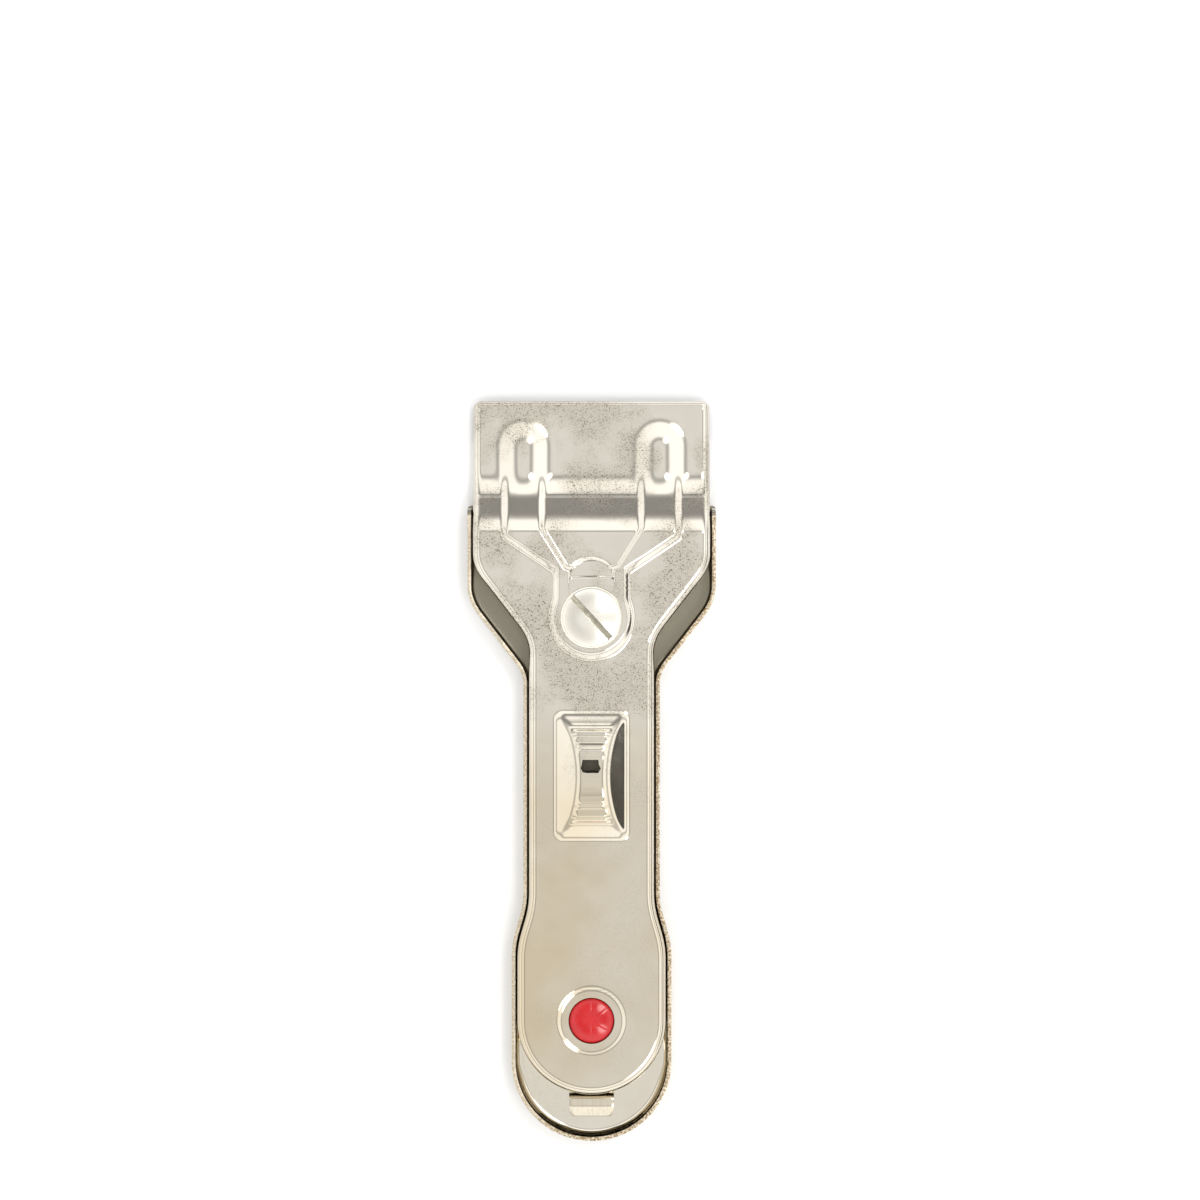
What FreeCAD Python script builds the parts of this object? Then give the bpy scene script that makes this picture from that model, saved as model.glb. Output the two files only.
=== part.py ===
import FreeCAD, Part
import os
import Sketcher

# Hob scraper: a pressed cover slides in a pressed tray that carries a clamped blade.
# Millimetres. +Y points to the blade, +X to the right seen from above, +Z up.
# The origin is the middle of the footprint, on the surface that the tray lies on.

doc = FreeCAD.newDocument("hob_scraper")

# Driving dimensions: name, value, what it is
SIZES = [
    ("overall_length", 140.0, "tail of the tray to the front lip of the cover"),
    ("neck_width", 23.6, "cover across the neck"),
    ("tail_width", 28.0, "cover across the round tail"),
    ("head_length", 31.5, "front lip to the start of the shoulders"),
    ("shoulder_length", 13.7, "length of the slanted shoulders"),
    ("flare_length", 7.5, "length of the widening before the tail"),
    ("tail_length", 28.1, "end of the flare to the round end of the cover"),
    ("plan_round", 3.0, "rounding of the corners of the outline"),
    ("cover_sheet", 0.7, "sheet of the cover"),
    ("tray_sheet", 0.7, "sheet of the tray"),
    ("cover_travel", 5.5, "slide of the cover"),
    ("end_clearance", 0.3, "room left at the shoulders when the cover is back"),
    ("tail_room", 2.7, "room left at the tail when the cover is back"),
    ("running_gap", 0.4, "skirt of the cover to the wall of the tray"),
    ("skirt_clearance", 0.2, "skirt of the cover to the floor of the tray"),
    ("handle_height", 8.2, "top of the neck above the surface"),
    ("lip_height", 3.4, "top of the front lip above the surface"),
    ("lip_length", 16.2, "front lip to the foot of the step"),
    ("step_length", 7.8, "foot of the step to its top"),
    ("rim_round", 1.6, "rounded top edge of the cover"),
    ("bend_round", 1.5, "rounding of the two bends of the step"),
    ("tray_height", 5.2, "rim of the tray above the surface"),
    ("wall_setback", 20.0, "front lip to the front of the tray walls"),
    ("tray_setback", 7.6, "front lip to the front edge of the tray floor"),
    ("rib_height", 1.4, "ribs and boss above the cover"),
    ("rib_spacing_share", 0.576, "middle of one rib to the other, as a share of the head width"),
    ("rib_foot_width", 11.4, "rib at its foot"),
    ("rib_crest_width", 6.0, "rib at its crest"),
    ("rib_setback", 2.4, "front lip to the front of the ribs"),
    ("arm_width", 2.6, "rib beside the slot, at its crest"),
    ("arm_slope", 0.9, "foot of a rib arm beyond its crest"),
    ("arm_length", 9.0, "top of the step to where the arms run straight"),
    ("boss_width", 14.8, "round boss under the screw head"),
    ("screw_setback", 41.0, "front lip to the screw"),
    ("slot_width", 8.5, "slot of the cover at the screw"),
    ("slot_spare", 1.0, "slot beyond the travel"),
    ("collar_width", 8.0, "outside of the collar"),
    ("screw_width", 4.0, "thread of the screw"),
    ("head_clearance", 0.2, "screw head to the boss of the cover"),
    ("screw_head_width", 11.8, "screw head across"),
    ("screw_head_height", 2.0, "screw head, top of its dome"),
    ("screw_dome", 0.8, "rise of the dome"),
    ("coin_slot_width", 1.05, "slot in the screw head, across"),
    ("coin_slot_length", 10.6, "slot in the screw head, along"),
    ("coin_slot_depth", 0.9, "slot in the screw head, down"),
    ("coin_slot_angle", 133.0, "slot in the screw head, from the right"),
    ("fit_clearance", 0.05, "radial running fit"),
    ("pillar_width", 8.0, "threaded pillar across"),
    ("spigot_width", 5.4, "riveted foot of a pillar"),
    ("pillar_gap", 0.3, "pillar to the underside of the clamp"),
    ("thread_reach", 3.4, "screw below the top of the pillar"),
    ("blade_width", 42.0, "blade along its edges"),
    ("blade_side_gap", 0.7, "end of the blade to the inside of the cover"),
    ("blade_depth", 22.0, "blade from edge to edge"),
    ("blade_sheet", 0.25, "blade"),
    ("blade_setback", 0.8, "front lip to the edge of the blade"),
    ("edge_bevel", 1.4, "ground edge of the blade"),
    ("edge_land", 0.05, "thickness left at the edge"),
    ("pin_width", 3.0, "pin across"),
    ("pin_spacing", 26.0, "pin to pin"),
    ("pin_height", 2.1, "top of the pins above the surface"),
    ("pin_hole_clearance", 0.1, "pin to the holes of blade and clamp, radial"),
    ("clamp_sheet", 0.8, "sheet of the clamp"),
    ("clamp_margin", 2.0, "end of the clamp inside the end of the blade"),
    ("clamp_tail_width", 17.0, "clamp across the screw"),
    ("clamp_web", 1.6, "front of the clamp to its pin holes"),
    ("clamp_bend_setback", 23.0, "front lip to the foot of the crank"),
    ("clamp_bend_length", 10.4, "foot of the crank to its top"),
    ("clamp_drop", 1.0, "top of the clamp below the cover"),
    ("clamp_tail_reach", 7.5, "clamp behind the screw"),
    ("grip_lead_share", 0.26, "share of the free length from boss to dish that lies ahead of the grip"),
    ("grip_length", 25.0, "grip along the neck"),
    ("grip_width", 14.6, "grip at its foot"),
    ("grip_end_width", 10.0, "top of the grip at its ends"),
    ("grip_waist_width", 5.2, "top of the grip at its waist"),
    ("grip_height", 4.2, "summit of the grip above the cover"),
    ("grip_end_height", 1.2, "ends of the grip above the cover"),
    ("ridge_pitch", 2.5, "groove to groove on the grip"),
    ("ridge_start", 4.6, "middle of the grip to the first groove"),
    ("groove_width", 0.9, "groove on the grip, across"),
    ("groove_depth", 0.5, "groove on the grip, down"),
    ("window_width", 3.5, "hole in the grip, across"),
    ("window_length", 2.4, "hole in the grip, along"),
    ("window_offset", 1.9, "hole in the grip, ahead of its middle"),
    ("tab_width", 6.0, "fixing tab of the grip, across"),
    ("tab_sheet", 0.8, "fixing tab of the grip"),
    ("tab_reach", 0.6, "fixing tab below the sheet of the cover"),
    ("tab_offset", 10.4, "middle of the grip to its tabs"),
    ("guide_width", 7.0, "guide pillar across"),
    ("guide_gap", 0.2, "guide pillar to the underside of the cover"),
    ("guide_neck_width", 4.0, "rivet in the slot of the cover"),
    ("guide_slot_width", 4.4, "slot of the cover under the grip"),
    ("guide_shank_width", 3.0, "rivet in the pillar"),
    ("guide_head_width", 6.6, "rivet head across"),
    ("guide_head_height", 0.8, "rivet head"),
    ("washer_width", 7.6, "washer across"),
    ("washer_sheet", 0.4, "washer"),
    ("washer_gap", 0.15, "washer to the top of the cover"),
    ("hollow_clearance", 0.3, "hollow of the grip round the rivet"),
    ("button_width", 8.5, "red button across"),
    ("button_clearance", 0.1, "button to its hole, radial"),
    ("button_dome", 0.9, "rise of the dome of the button"),
    ("button_flange_width", 11.0, "flange of the button under the cover"),
    ("button_flange", 1.0, "thickness of the flange"),
    ("button_play", 0.1, "flange to the cover, and stem to the leaf"),
    ("button_stem_width", 4.4, "stem of the button"),
    ("dish_width", 13.5, "dish round the button, at its rim"),
    ("dish_floor_width", 10.2, "dish round the button, at its floor"),
    ("dish_depth", 0.6, "dish round the button"),
    ("leaf_sheet", 0.5, "lock leaf"),
    ("leaf_width", 8.5, "lock leaf across"),
    ("leaf_root", 9.0, "button to where the leaf leaves the floor"),
    ("leaf_foot", 9.5, "leaf that lies on the floor"),
    ("tongue_gap", 0.25, "tail of the cover to the tongue"),
    ("tongue_length", 4.2, "tongue behind the cover"),
    ("tongue_height", 4.3, "top of the tongue above the surface"),
    ("leaf_rise", 1.4, "rise of the leaf below the tongue"),
    ("tongue_round", 1.4, "round corners of the tongue"),
    ("notch_clearance", 0.4, "notch in the tail of the cover, round the leaf"),
    ("rivet_width", 2.2, "rivet of the leaf"),
    ("rivet_head_width", 3.8, "head of a leaf rivet"),
    ("rivet_head_height", 0.6, "height of that head"),
    ("rivet_spacing", 4.6, "rivet to rivet"),
    ("cut_overrun", 2.0, "how far cuts run past what they cut"),
]

size = doc.addObject("Spreadsheet::Sheet", "size")
for row, (alias, value, note) in enumerate(SIZES, start=1):
    size.set(f"A{row}", note)
    size.set(f"B{row}", str(value))
    size.setAlias(f"B{row}", alias)
doc.recompute()

# Places that several pieces share, as expressions on the sheet
FRONT = "size.overall_length / 2"
HEAD_WIDTH = "(size.blade_width + 2 * size.blade_side_gap + 2 * size.cover_sheet)"
CLAMP_WIDTH = "(size.blade_width - 2 * size.clamp_margin)"
RIB_SPACING = f"({HEAD_WIDTH} * size.rib_spacing_share)"
TRAY_END = "-size.overall_length / 2"
COVER_END = f"({TRAY_END} + size.tray_sheet + size.cover_travel + size.tail_room)"
STEP_FOOT = f"({FRONT} - size.lip_length)"
STEP_TOP = f"({STEP_FOOT} - size.step_length)"
SCREW = f"({FRONT} - size.screw_setback)"
BOSS_FOOT_WIDTH = "(size.boss_width + size.arm_slope)"
BOSS_REAR = f"({SCREW} - {BOSS_FOOT_WIDTH} / 2)"
BUTTON = f"({COVER_END} + size.tail_width / 2)"
DISH_FRONT = f"({BUTTON} + size.dish_width / 2)"
GRIP_LEAD = f"(size.grip_lead_share * ({BOSS_REAR} - {DISH_FRONT} - size.grip_length))"
GRIP = f"({BOSS_REAR} - {GRIP_LEAD} - size.grip_length / 2)"
GUIDE = f"({GRIP} - size.cover_travel / 2)"
SKIRT = "(size.tray_sheet + size.skirt_clearance)"
COVER_UNDERSIDE = "(size.handle_height - size.cover_sheet)"
BLADE_TOP = "(size.tray_sheet + size.blade_sheet)"
BLADE_MIDDLE = f"({FRONT} - size.blade_setback - size.blade_depth / 2)"
CLAMP_TOP = f"({COVER_UNDERSIDE} - size.clamp_drop)"
PILLAR_TOP = f"({CLAMP_TOP} - size.clamp_sheet - size.pillar_gap)"
HEAD_SEAT = "(size.handle_height + size.rib_height + size.head_clearance)"
GUIDE_TOP = f"({COVER_UNDERSIDE} - size.guide_gap)"
WASHER_SEAT = "(size.handle_height + size.washer_gap)"
LEAF_ROOT = f"({BUTTON} + size.leaf_root)"
TONGUE = f"({COVER_END} - size.tongue_gap)"


def origin_plane(body, role):
    return [feature for feature in body.Origin.OriginFeatures if feature.Role == role][0]


def new_body(label):
    body = doc.addObject("PartDesign::Body", label)
    body.Label = label
    return body


def new_sketch(body, role, lift="0", along="0", up="0"):
    """A sketch on an origin plane, moved along its normal (lift) and in the plane (along, up)."""
    sketch = body.newObject("Sketcher::SketchObject", f"{body.Label}_sketch")
    sketch.AttachmentSupport = [(origin_plane(body, role), "")]
    sketch.MapMode = "FlatFace"
    for axis, place in (("x", along), ("y", up), ("z", lift)):
        sketch.setExpression(f"AttachmentOffset.Base.{axis}", place)
    return sketch


def bind_point(sketch, geometry, end, place, axes=("X", "Y")):
    """Ties a point of the sketch to two expressions."""
    for axis, expression in zip(("X", "Y"), place):
        if axis in axes:
            value = float(sketch.evalExpression(expression))
            number = sketch.addConstraint(
                Sketcher.Constraint(f"Distance{axis}", -1, 1, geometry, end, value))
            sketch.setExpression(f"Constraints[{number}]", expression)


def place_of(sketch, point):
    """The point that two expressions stand for now."""
    return FreeCAD.Vector(*[float(sketch.evalExpression(value)) for value in point])


def draw_outline(sketch, points, arcs=()):
    """A closed outline through points given as expressions. arcs maps the number of a point to the
    centre of the arc that leaves it, the axis of that centre that is bound, and its turn."""
    arcs = dict(arcs)
    places = [place_of(sketch, point) for point in points]
    first = sketch.GeometryCount
    ends = []
    for number, start in enumerate(places):
        finish = places[(number + 1) % len(places)]
        if number in arcs:
            centre, bound_axis, turn = arcs[number]
            middle = place_of(sketch, centre)
            begin, stop = (start, finish) if turn == "left" else (finish, start)
            circle = Part.Circle(middle, FreeCAD.Vector(0, 0, 1), (start - middle).Length)
            arc = Part.ArcOfCircle(circle, circle.parameter(begin), circle.parameter(stop))
            geometry = sketch.addGeometry(arc)
            bind_point(sketch, geometry, 3, centre, (bound_axis,))
            ends.append((1, 2) if turn == "left" else (2, 1))
        else:
            sketch.addGeometry(Part.LineSegment(start, finish))
            ends.append((1, 2))
    count = len(places)
    for number in range(count):
        following = (number + 1) % count
        sketch.addConstraint(Sketcher.Constraint(
            "Coincident", first + number, ends[number][1], first + following, ends[following][0]))
    for number, point in enumerate(points):
        bind_point(sketch, first + number, ends[number][0], point)
    return sketch


def draw_box(sketch, left, right, low, high):
    return draw_outline(sketch, [(left, low), (right, low), (right, high), (left, high)])


def draw_circle(sketch, place, width):
    """A circle about a place, with its diameter given as an expression."""
    centre = place_of(sketch, place)
    radius = float(sketch.evalExpression(f"{width} / 2"))
    geometry = sketch.addGeometry(Part.Circle(centre, FreeCAD.Vector(0, 0, 1), radius))
    bind_point(sketch, geometry, 3, place)
    number = sketch.addConstraint(Sketcher.Constraint("Diameter", geometry, 2 * radius))
    sketch.setExpression(f"Constraints[{number}]", width)
    return sketch


def draw_slot(sketch, width, low, high):
    """A round-ended slot along Y, given by its width and the centres of its two ends."""
    left = f"-({width}) / 2"
    right = f"({width}) / 2"
    corners = [(right, low), (right, high), (left, high), (left, low)]
    arcs = {1: (("0", high), "Y", "left"), 3: (("0", low), "Y", "left")}
    return draw_outline(sketch, corners, arcs)


def pad(body, sketch, length, both_sides=False):
    feature = body.newObject("PartDesign::Pad", f"{body.Label}_pad")
    feature.Profile = sketch
    feature.SideType = "Symmetric" if both_sides else "One side"
    feature.setExpression("Length", length)
    doc.recompute()
    return feature


def pocket(body, sketch, length, both_sides=False, upward=False):
    """A cut, with a test that it does remove material."""
    before = body.Shape.Volume
    feature = body.newObject("PartDesign::Pocket", f"{body.Label}_pocket")
    feature.Profile = sketch
    feature.SideType = "Symmetric" if both_sides else "One side"
    feature.Reversed = upward
    feature.setExpression("Length", length)
    doc.recompute()
    if not body.Shape.Volume < before:
        raise RuntimeError(f"a cut in {body.Label} removes nothing")
    return feature


def loft(body, lower, upper):
    feature = body.newObject("PartDesign::AdditiveLoft", f"{body.Label}_loft")
    feature.Profile = lower
    feature.Sections = [upper]
    feature.Ruled = True
    doc.recompute()
    return feature


def turn(body, sketch, kind="PartDesign::Revolution"):
    feature = body.newObject(kind, f"{body.Label}_turned")
    feature.Profile = sketch
    feature.ReferenceAxis = (sketch, ["V_Axis"])
    feature.Angle = 360
    doc.recompute()
    return feature


def turned_piece(label, y, profile, x="0", arcs=()):
    """A round piece on a vertical axis, from its half profile of radius and height."""
    body = new_body(label)
    sketch = new_sketch(body, "YZ_Plane", lift=x, along=y)
    draw_outline(sketch, profile, arcs)
    turn(body, sketch)
    return body


def round_edges(body, radius, wanted):
    """Rounds the edges of the body that the test wants: it is given an edge's middle and the outward
    normals of the two faces that meet there."""
    shape = body.Shape
    names = []
    for number, edge in enumerate(shape.Edges, start=1):
        middle = edge.valueAt((edge.FirstParameter + edge.LastParameter) / 2)
        faces = shape.ancestorsOfType(edge, Part.Face)
        normals = [face.normalAt(*face.Surface.parameter(middle)) for face in faces]
        if len(normals) == 2 and wanted(middle, normals):
            names.append(f"Edge{number}")
    base = body.Tip
    feature = body.newObject("PartDesign::Fillet", f"{body.Label}_round")
    feature.Base = (base, names)
    feature.setExpression("Radius", radius)
    doc.recompute()
    return feature


def is_upright_corner(middle, normals):
    """True at an upright edge between two walls that meet at an angle."""
    first, second = normals
    upright = abs(first.z) < 0.01 and abs(second.z) < 0.01
    return upright and first.getAngle(second) > 0.1


def is_upright_corner_away_from_front(middle, normals):
    return is_upright_corner(middle, normals) and all(normal.y < 0.99 for normal in normals)


def is_bend(middle, normals):
    """True at a bend of the step, where two faces that look up and along the tool meet."""
    first, second = normals
    along = all(abs(normal.x) < 0.01 and normal.z > 0.5 for normal in normals)
    return along and first.getAngle(second) > 0.1


def is_top_rim(middle, normals):
    """True where the top of the cover meets a side wall, but not at the front."""
    walls = [normal for normal in normals if abs(normal.z) < 0.01]
    tops = [normal for normal in normals if normal.z > 0.5]
    return len(walls) == 1 and len(tops) == 1 and walls[0].y < 0.99


def plan_outline(sketch, offset, front, tail_end, shift="0"):
    """The outline of the tool seen from above, moved outwards by an offset, with its shoulders moved
    back by a shift."""
    head = f"{HEAD_WIDTH} / 2 + {offset}"
    neck = f"size.neck_width / 2 + {offset}"
    tail = f"size.tail_width / 2 + {offset}"
    shoulder_turn = f"tan(atan(({HEAD_WIDTH} - size.neck_width) / 2 / size.shoulder_length) / 2)"
    flare_turn = "tan(atan((size.tail_width - size.neck_width) / 2 / size.flare_length) / 2)"
    shoulder_start = f"{FRONT} - size.head_length - ({shift}) - ({offset}) * {shoulder_turn}"
    shoulder_end = f"{shoulder_start} - size.shoulder_length"
    flare_end = f"{COVER_END} + size.tail_length + ({offset}) * {flare_turn}"
    flare_start = f"{flare_end} + size.flare_length"
    tail_middle = f"{tail_end} + {tail}"
    right = [(head, front), (head, shoulder_start), (neck, shoulder_end), (neck, flare_start),
             (tail, flare_end), (tail, tail_middle)]
    left = [(f"-({x})", y) for x, y in right]
    arcs = {len(left) - 1: (("0", tail_middle), "Y", "left")}
    return draw_outline(sketch, left + right[::-1], arcs)


def shelf(body, level):
    """A sketch parallel to the ground at a height."""
    return new_sketch(body, "XY_Plane", lift=level)


def rib_section(body, y, level, foot):
    """A rib's cross section, standing at a place along the tool, on a level of the sheet."""
    sections = []
    for side in ("-", ""):
        sketch = new_sketch(body, "XZ_Plane", lift=f"-({y})")
        middle = f"{side}{RIB_SPACING} / 2"
        corners = [(f"{middle} - size.rib_foot_width / 2", foot),
                   (f"{middle} + size.rib_foot_width / 2", foot),
                   (f"{middle} + size.rib_crest_width / 2", f"{level} + size.rib_height"),
                   (f"{middle} - size.rib_crest_width / 2", f"{level} + size.rib_height")]
        sections.append(draw_outline(sketch, corners))
    return sections


def finger_outline(sketch, side, width):
    """The arched front of a rib on the lip, seen from above."""
    middle = f"{side}{RIB_SPACING} / 2"
    arch = f"{FRONT} - size.rib_setback - size.rib_foot_width / 2"
    low_left = (f"{middle} - ({width}) / 2", STEP_FOOT)
    low_right = (f"{middle} + ({width}) / 2", STEP_FOOT)
    high_right = (f"{middle} + ({width}) / 2", arch)
    high_left = (f"{middle} - ({width}) / 2", arch)
    arcs = {2: ((middle, arch), "Y", "left")}
    return draw_outline(sketch, [low_left, low_right, high_right, high_left], arcs)


def arm_outline(sketch, side, spread):
    """The arm of a rib behind the step, which narrows to run beside the slot, seen from above."""
    middle = f"{RIB_SPACING} / 2"
    wide = f"(size.rib_crest_width / 2 + (size.rib_foot_width - size.rib_crest_width) / 2 * {spread})"
    edge = f"size.arm_slope * {spread}"
    inner = f"(size.slot_width / 2 - {edge} / 2)"
    outer = f"(size.slot_width / 2 + size.arm_width + {edge})"
    bend = f"{STEP_TOP} - size.arm_length"
    points = [(f"{middle} + {wide}", STEP_TOP), (f"{middle} - {wide}", STEP_TOP), (inner, bend),
              (inner, SCREW), (outer, SCREW), (outer, bend)]
    if side == "-":
        points = [(f"-({x})", y) for x, y in points[::-1]]
    return draw_outline(sketch, points)


def pressed_form(label, inset, bottom, front):
    """The outside of the cover, or with an inset of one sheet the hollow under it, as a solid block."""
    body = new_body(label)
    top = f"(size.handle_height - {inset})"
    lip = f"(size.lip_height - {inset})"
    plan = plan_outline(shelf(body, bottom), f"(-{inset})", front, f"({COVER_END} + {inset})")
    pad(body, plan, f"{top} - ({bottom})")
    round_edges(body, "size.plan_round", is_upright_corner_away_from_front)
    over = "size.cut_overrun"
    above_lip = [(STEP_FOOT, lip), (STEP_TOP, top), (STEP_TOP, f"{top} + {over}"),
                 (f"{front} + {over}", f"{top} + {over}"), (f"{front} + {over}", lip)]
    step = draw_outline(new_sketch(body, "YZ_Plane"), above_lip)
    pocket(body, step, f"{HEAD_WIDTH} + {over}", both_sides=True)
    round_edges(body, "size.bend_round", is_bend)
    round_edges(body, f"size.rim_round - {inset}", is_top_rim)
    dish = new_sketch(body, "YZ_Plane", along=BUTTON)
    half_rim = "size.dish_width / 2"
    half_floor = "size.dish_floor_width / 2"
    draw_outline(dish, [("0", f"{top} + {over}"), ("0", f"{top} - size.dish_depth"),
                        (half_floor, f"{top} - size.dish_depth"), (half_rim, top),
                        (half_rim, f"{top} + {over}")])
    turn(body, dish, "PartDesign::Groove")
    foot = f"(size.lip_height - {inset} - size.cover_sheet / 2)"
    high_foot = f"(size.handle_height - {inset} - size.cover_sheet / 2)"
    low_sections = rib_section(body, STEP_FOOT, lip, foot)
    high_sections = rib_section(body, STEP_TOP, top, high_foot)
    for number, side in enumerate(("-", "")):
        loft(body, low_sections[number], high_sections[number])
        wide = finger_outline(shelf(body, foot), side, "size.rib_foot_width")
        narrow = finger_outline(shelf(body, f"{lip} + size.rib_height"), side, "size.rib_crest_width")
        loft(body, wide, narrow)
        spread_arm = arm_outline(shelf(body, high_foot), side, 1)
        crest_arm = arm_outline(shelf(body, f"{top} + size.rib_height"), side, 0)
        loft(body, spread_arm, crest_arm)
    boss = draw_circle(shelf(body, high_foot), ("0", SCREW), BOSS_FOOT_WIDTH)
    boss_top = draw_circle(shelf(body, f"{top} + size.rib_height"), ("0", SCREW), "size.boss_width")
    loft(body, boss, boss_top)
    return body


def leaf_top(y):
    """Height of the top of the lock leaf at a place between its root and the tongue."""
    root = "(size.tray_sheet + size.leaf_sheet)"
    return f"({root} + size.leaf_rise * ({LEAF_ROOT} - ({y})) / ({LEAF_ROOT} - {TONGUE}))"


def make_sliding_cover():
    """Pressed sheet: the outer form less the same form one sheet smaller, then its slots and holes."""
    body = pressed_form("sliding_cover", "0", SKIRT, FRONT)
    core = pressed_form("cover_hollow", "size.cover_sheet", f"({SKIRT} - size.cut_overrun)",
                        f"({FRONT} + size.cut_overrun)")
    hollow = body.newObject("PartDesign::Boolean", "cover_hollowed")
    hollow.Type = "Cut"
    hollow.setObjects([core])
    doc.recompute()
    over = "size.cut_overrun"
    above = f"(size.handle_height + size.rib_height + {over})"
    through = f"size.rib_height + size.cover_sheet + 2 * {over}"
    screw_slot = draw_slot(shelf(body, above), "size.slot_width", SCREW,
                           f"{SCREW} + size.cover_travel + size.slot_spare")
    pocket(body, screw_slot, through)
    guide_slot = draw_slot(shelf(body, above), "size.guide_slot_width", GUIDE,
                           f"{GUIDE} + size.cover_travel + size.end_clearance")
    pocket(body, guide_slot, through)
    tab_slots = shelf(body, above)
    half = "(size.tab_width / 2 + size.fit_clearance)"
    for side in ("-", "+"):
        middle = f"{GRIP} {side} size.tab_offset"
        draw_box(tab_slots, f"-{half}", half, f"{middle} - size.tab_sheet / 2 - size.fit_clearance",
                 f"{middle} + size.tab_sheet / 2 + size.fit_clearance")
    pocket(body, tab_slots, through)
    hole_width = "(size.button_width + 2 * size.button_clearance)"
    hole = draw_circle(shelf(body, above), ("0", BUTTON), hole_width)
    pocket(body, hole, f"{through} + size.dish_depth")
    notch = new_sketch(body, "XZ_Plane", lift=f"-({COVER_END} - {over})")
    reach = "(size.leaf_width / 2 + size.notch_clearance)"
    roof = f"{leaf_top(COVER_END)} + size.notch_clearance"
    draw_box(notch, f"-{reach}", reach, f"{SKIRT} - {over}", roof)
    pocket(body, notch, f"{over} + size.tail_width / 4")
    return body


def is_inner_corner(middle, normals):
    """True at an upright corner of the inside of the pan, whose walls stand on the floor."""
    above_floor = middle.z > (float(size.tray_height) + float(size.tray_sheet) / 2) / 2
    return above_floor and is_upright_corner_away_from_front(middle, normals)


def rivet_place(number):
    """Place along the tool of a rivet of the lock leaf."""
    return f"({LEAF_ROOT} + size.leaf_foot / 2 + size.rivet_spacing * {number - 0.5})"


def make_lower_tray():
    """Pressed tray: a walled pan from the wall front back, and a flat floor under the blade."""
    body = new_body("lower_tray")
    outside = "(size.running_gap + size.tray_sheet)"
    over = "size.cut_overrun"
    wall_front = f"({FRONT} - size.wall_setback)"
    back = "(size.cover_travel + size.end_clearance)"
    pan = plan_outline(shelf(body, "0"), outside, wall_front, TRAY_END, back)
    pad(body, pan, "size.tray_height")
    round_edges(body, "size.plan_round", is_upright_corner_away_from_front)
    inside = plan_outline(shelf(body, "size.tray_height"), "size.running_gap", f"({wall_front} + {over})",
                          f"({TRAY_END} + size.tray_sheet)", back)
    pocket(body, inside, "size.tray_height - size.tray_sheet")
    round_edges(body, "size.plan_round", is_inner_corner)
    floor = draw_box(shelf(body, "0"), f"-{HEAD_WIDTH} / 2", f"{HEAD_WIDTH} / 2",
                     f"{wall_front} - {over}", f"{FRONT} - size.tray_setback")
    pad(body, floor, "size.tray_sheet")
    holes = shelf(body, "size.tray_sheet")
    draw_circle(holes, ("0", SCREW), "size.spigot_width")
    draw_circle(holes, ("0", GUIDE), "size.spigot_width")
    for side in ("-", ""):
        draw_circle(holes, (f"{side}size.pin_spacing / 2", BLADE_MIDDLE), "size.pin_width")
    for number in range(2):
        draw_circle(holes, ("0", rivet_place(number)), "size.rivet_width")
    pocket(body, holes, "size.tray_sheet")
    return body


def make_blade():
    """Ground steel strip with an edge on both long sides, and holes for its pins."""
    body = new_body("blade")
    front = f"({BLADE_MIDDLE} + size.blade_depth / 2)"
    rear = f"({BLADE_MIDDLE} - size.blade_depth / 2)"
    low = "size.tray_sheet"
    edge_low = f"({low} + (size.blade_sheet - size.edge_land) / 2)"
    edge_high = f"({low} + (size.blade_sheet + size.edge_land) / 2)"
    section = [(rear, edge_low), (f"{rear} + size.edge_bevel", low), (f"{front} - size.edge_bevel", low),
               (front, edge_low), (front, edge_high), (f"{front} - size.edge_bevel", BLADE_TOP),
               (f"{rear} + size.edge_bevel", BLADE_TOP), (rear, edge_high)]
    pad(body, draw_outline(new_sketch(body, "YZ_Plane"), section), "size.blade_width", both_sides=True)
    holes = shelf(body, BLADE_TOP)
    for side in ("-", ""):
        draw_circle(holes, (f"{side}size.pin_spacing / 2", BLADE_MIDDLE),
                    "(size.pin_width + 2 * size.pin_hole_clearance)")
    pocket(body, holes, "size.blade_sheet")
    return body


def group(label, pieces):
    """Like pieces that share one node."""
    together = doc.addObject("Part::Compound", label)
    together.Label = label
    together.Links = pieces
    doc.recompute()
    return together


def make_blade_pins():
    """Two plain pins riveted flush into the floor of the tray."""
    half = "size.pin_width / 2"
    profile = [("0", "0"), (half, "0"), (half, "size.pin_height"), ("0", "size.pin_height")]
    pins = []
    for side, name in (("-", "left_pin"), ("", "right_pin")):
        pins.append(turned_piece(name, BLADE_MIDDLE, profile, x=f"{side}size.pin_spacing / 2"))
    return group("blade_pins", pins)


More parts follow.
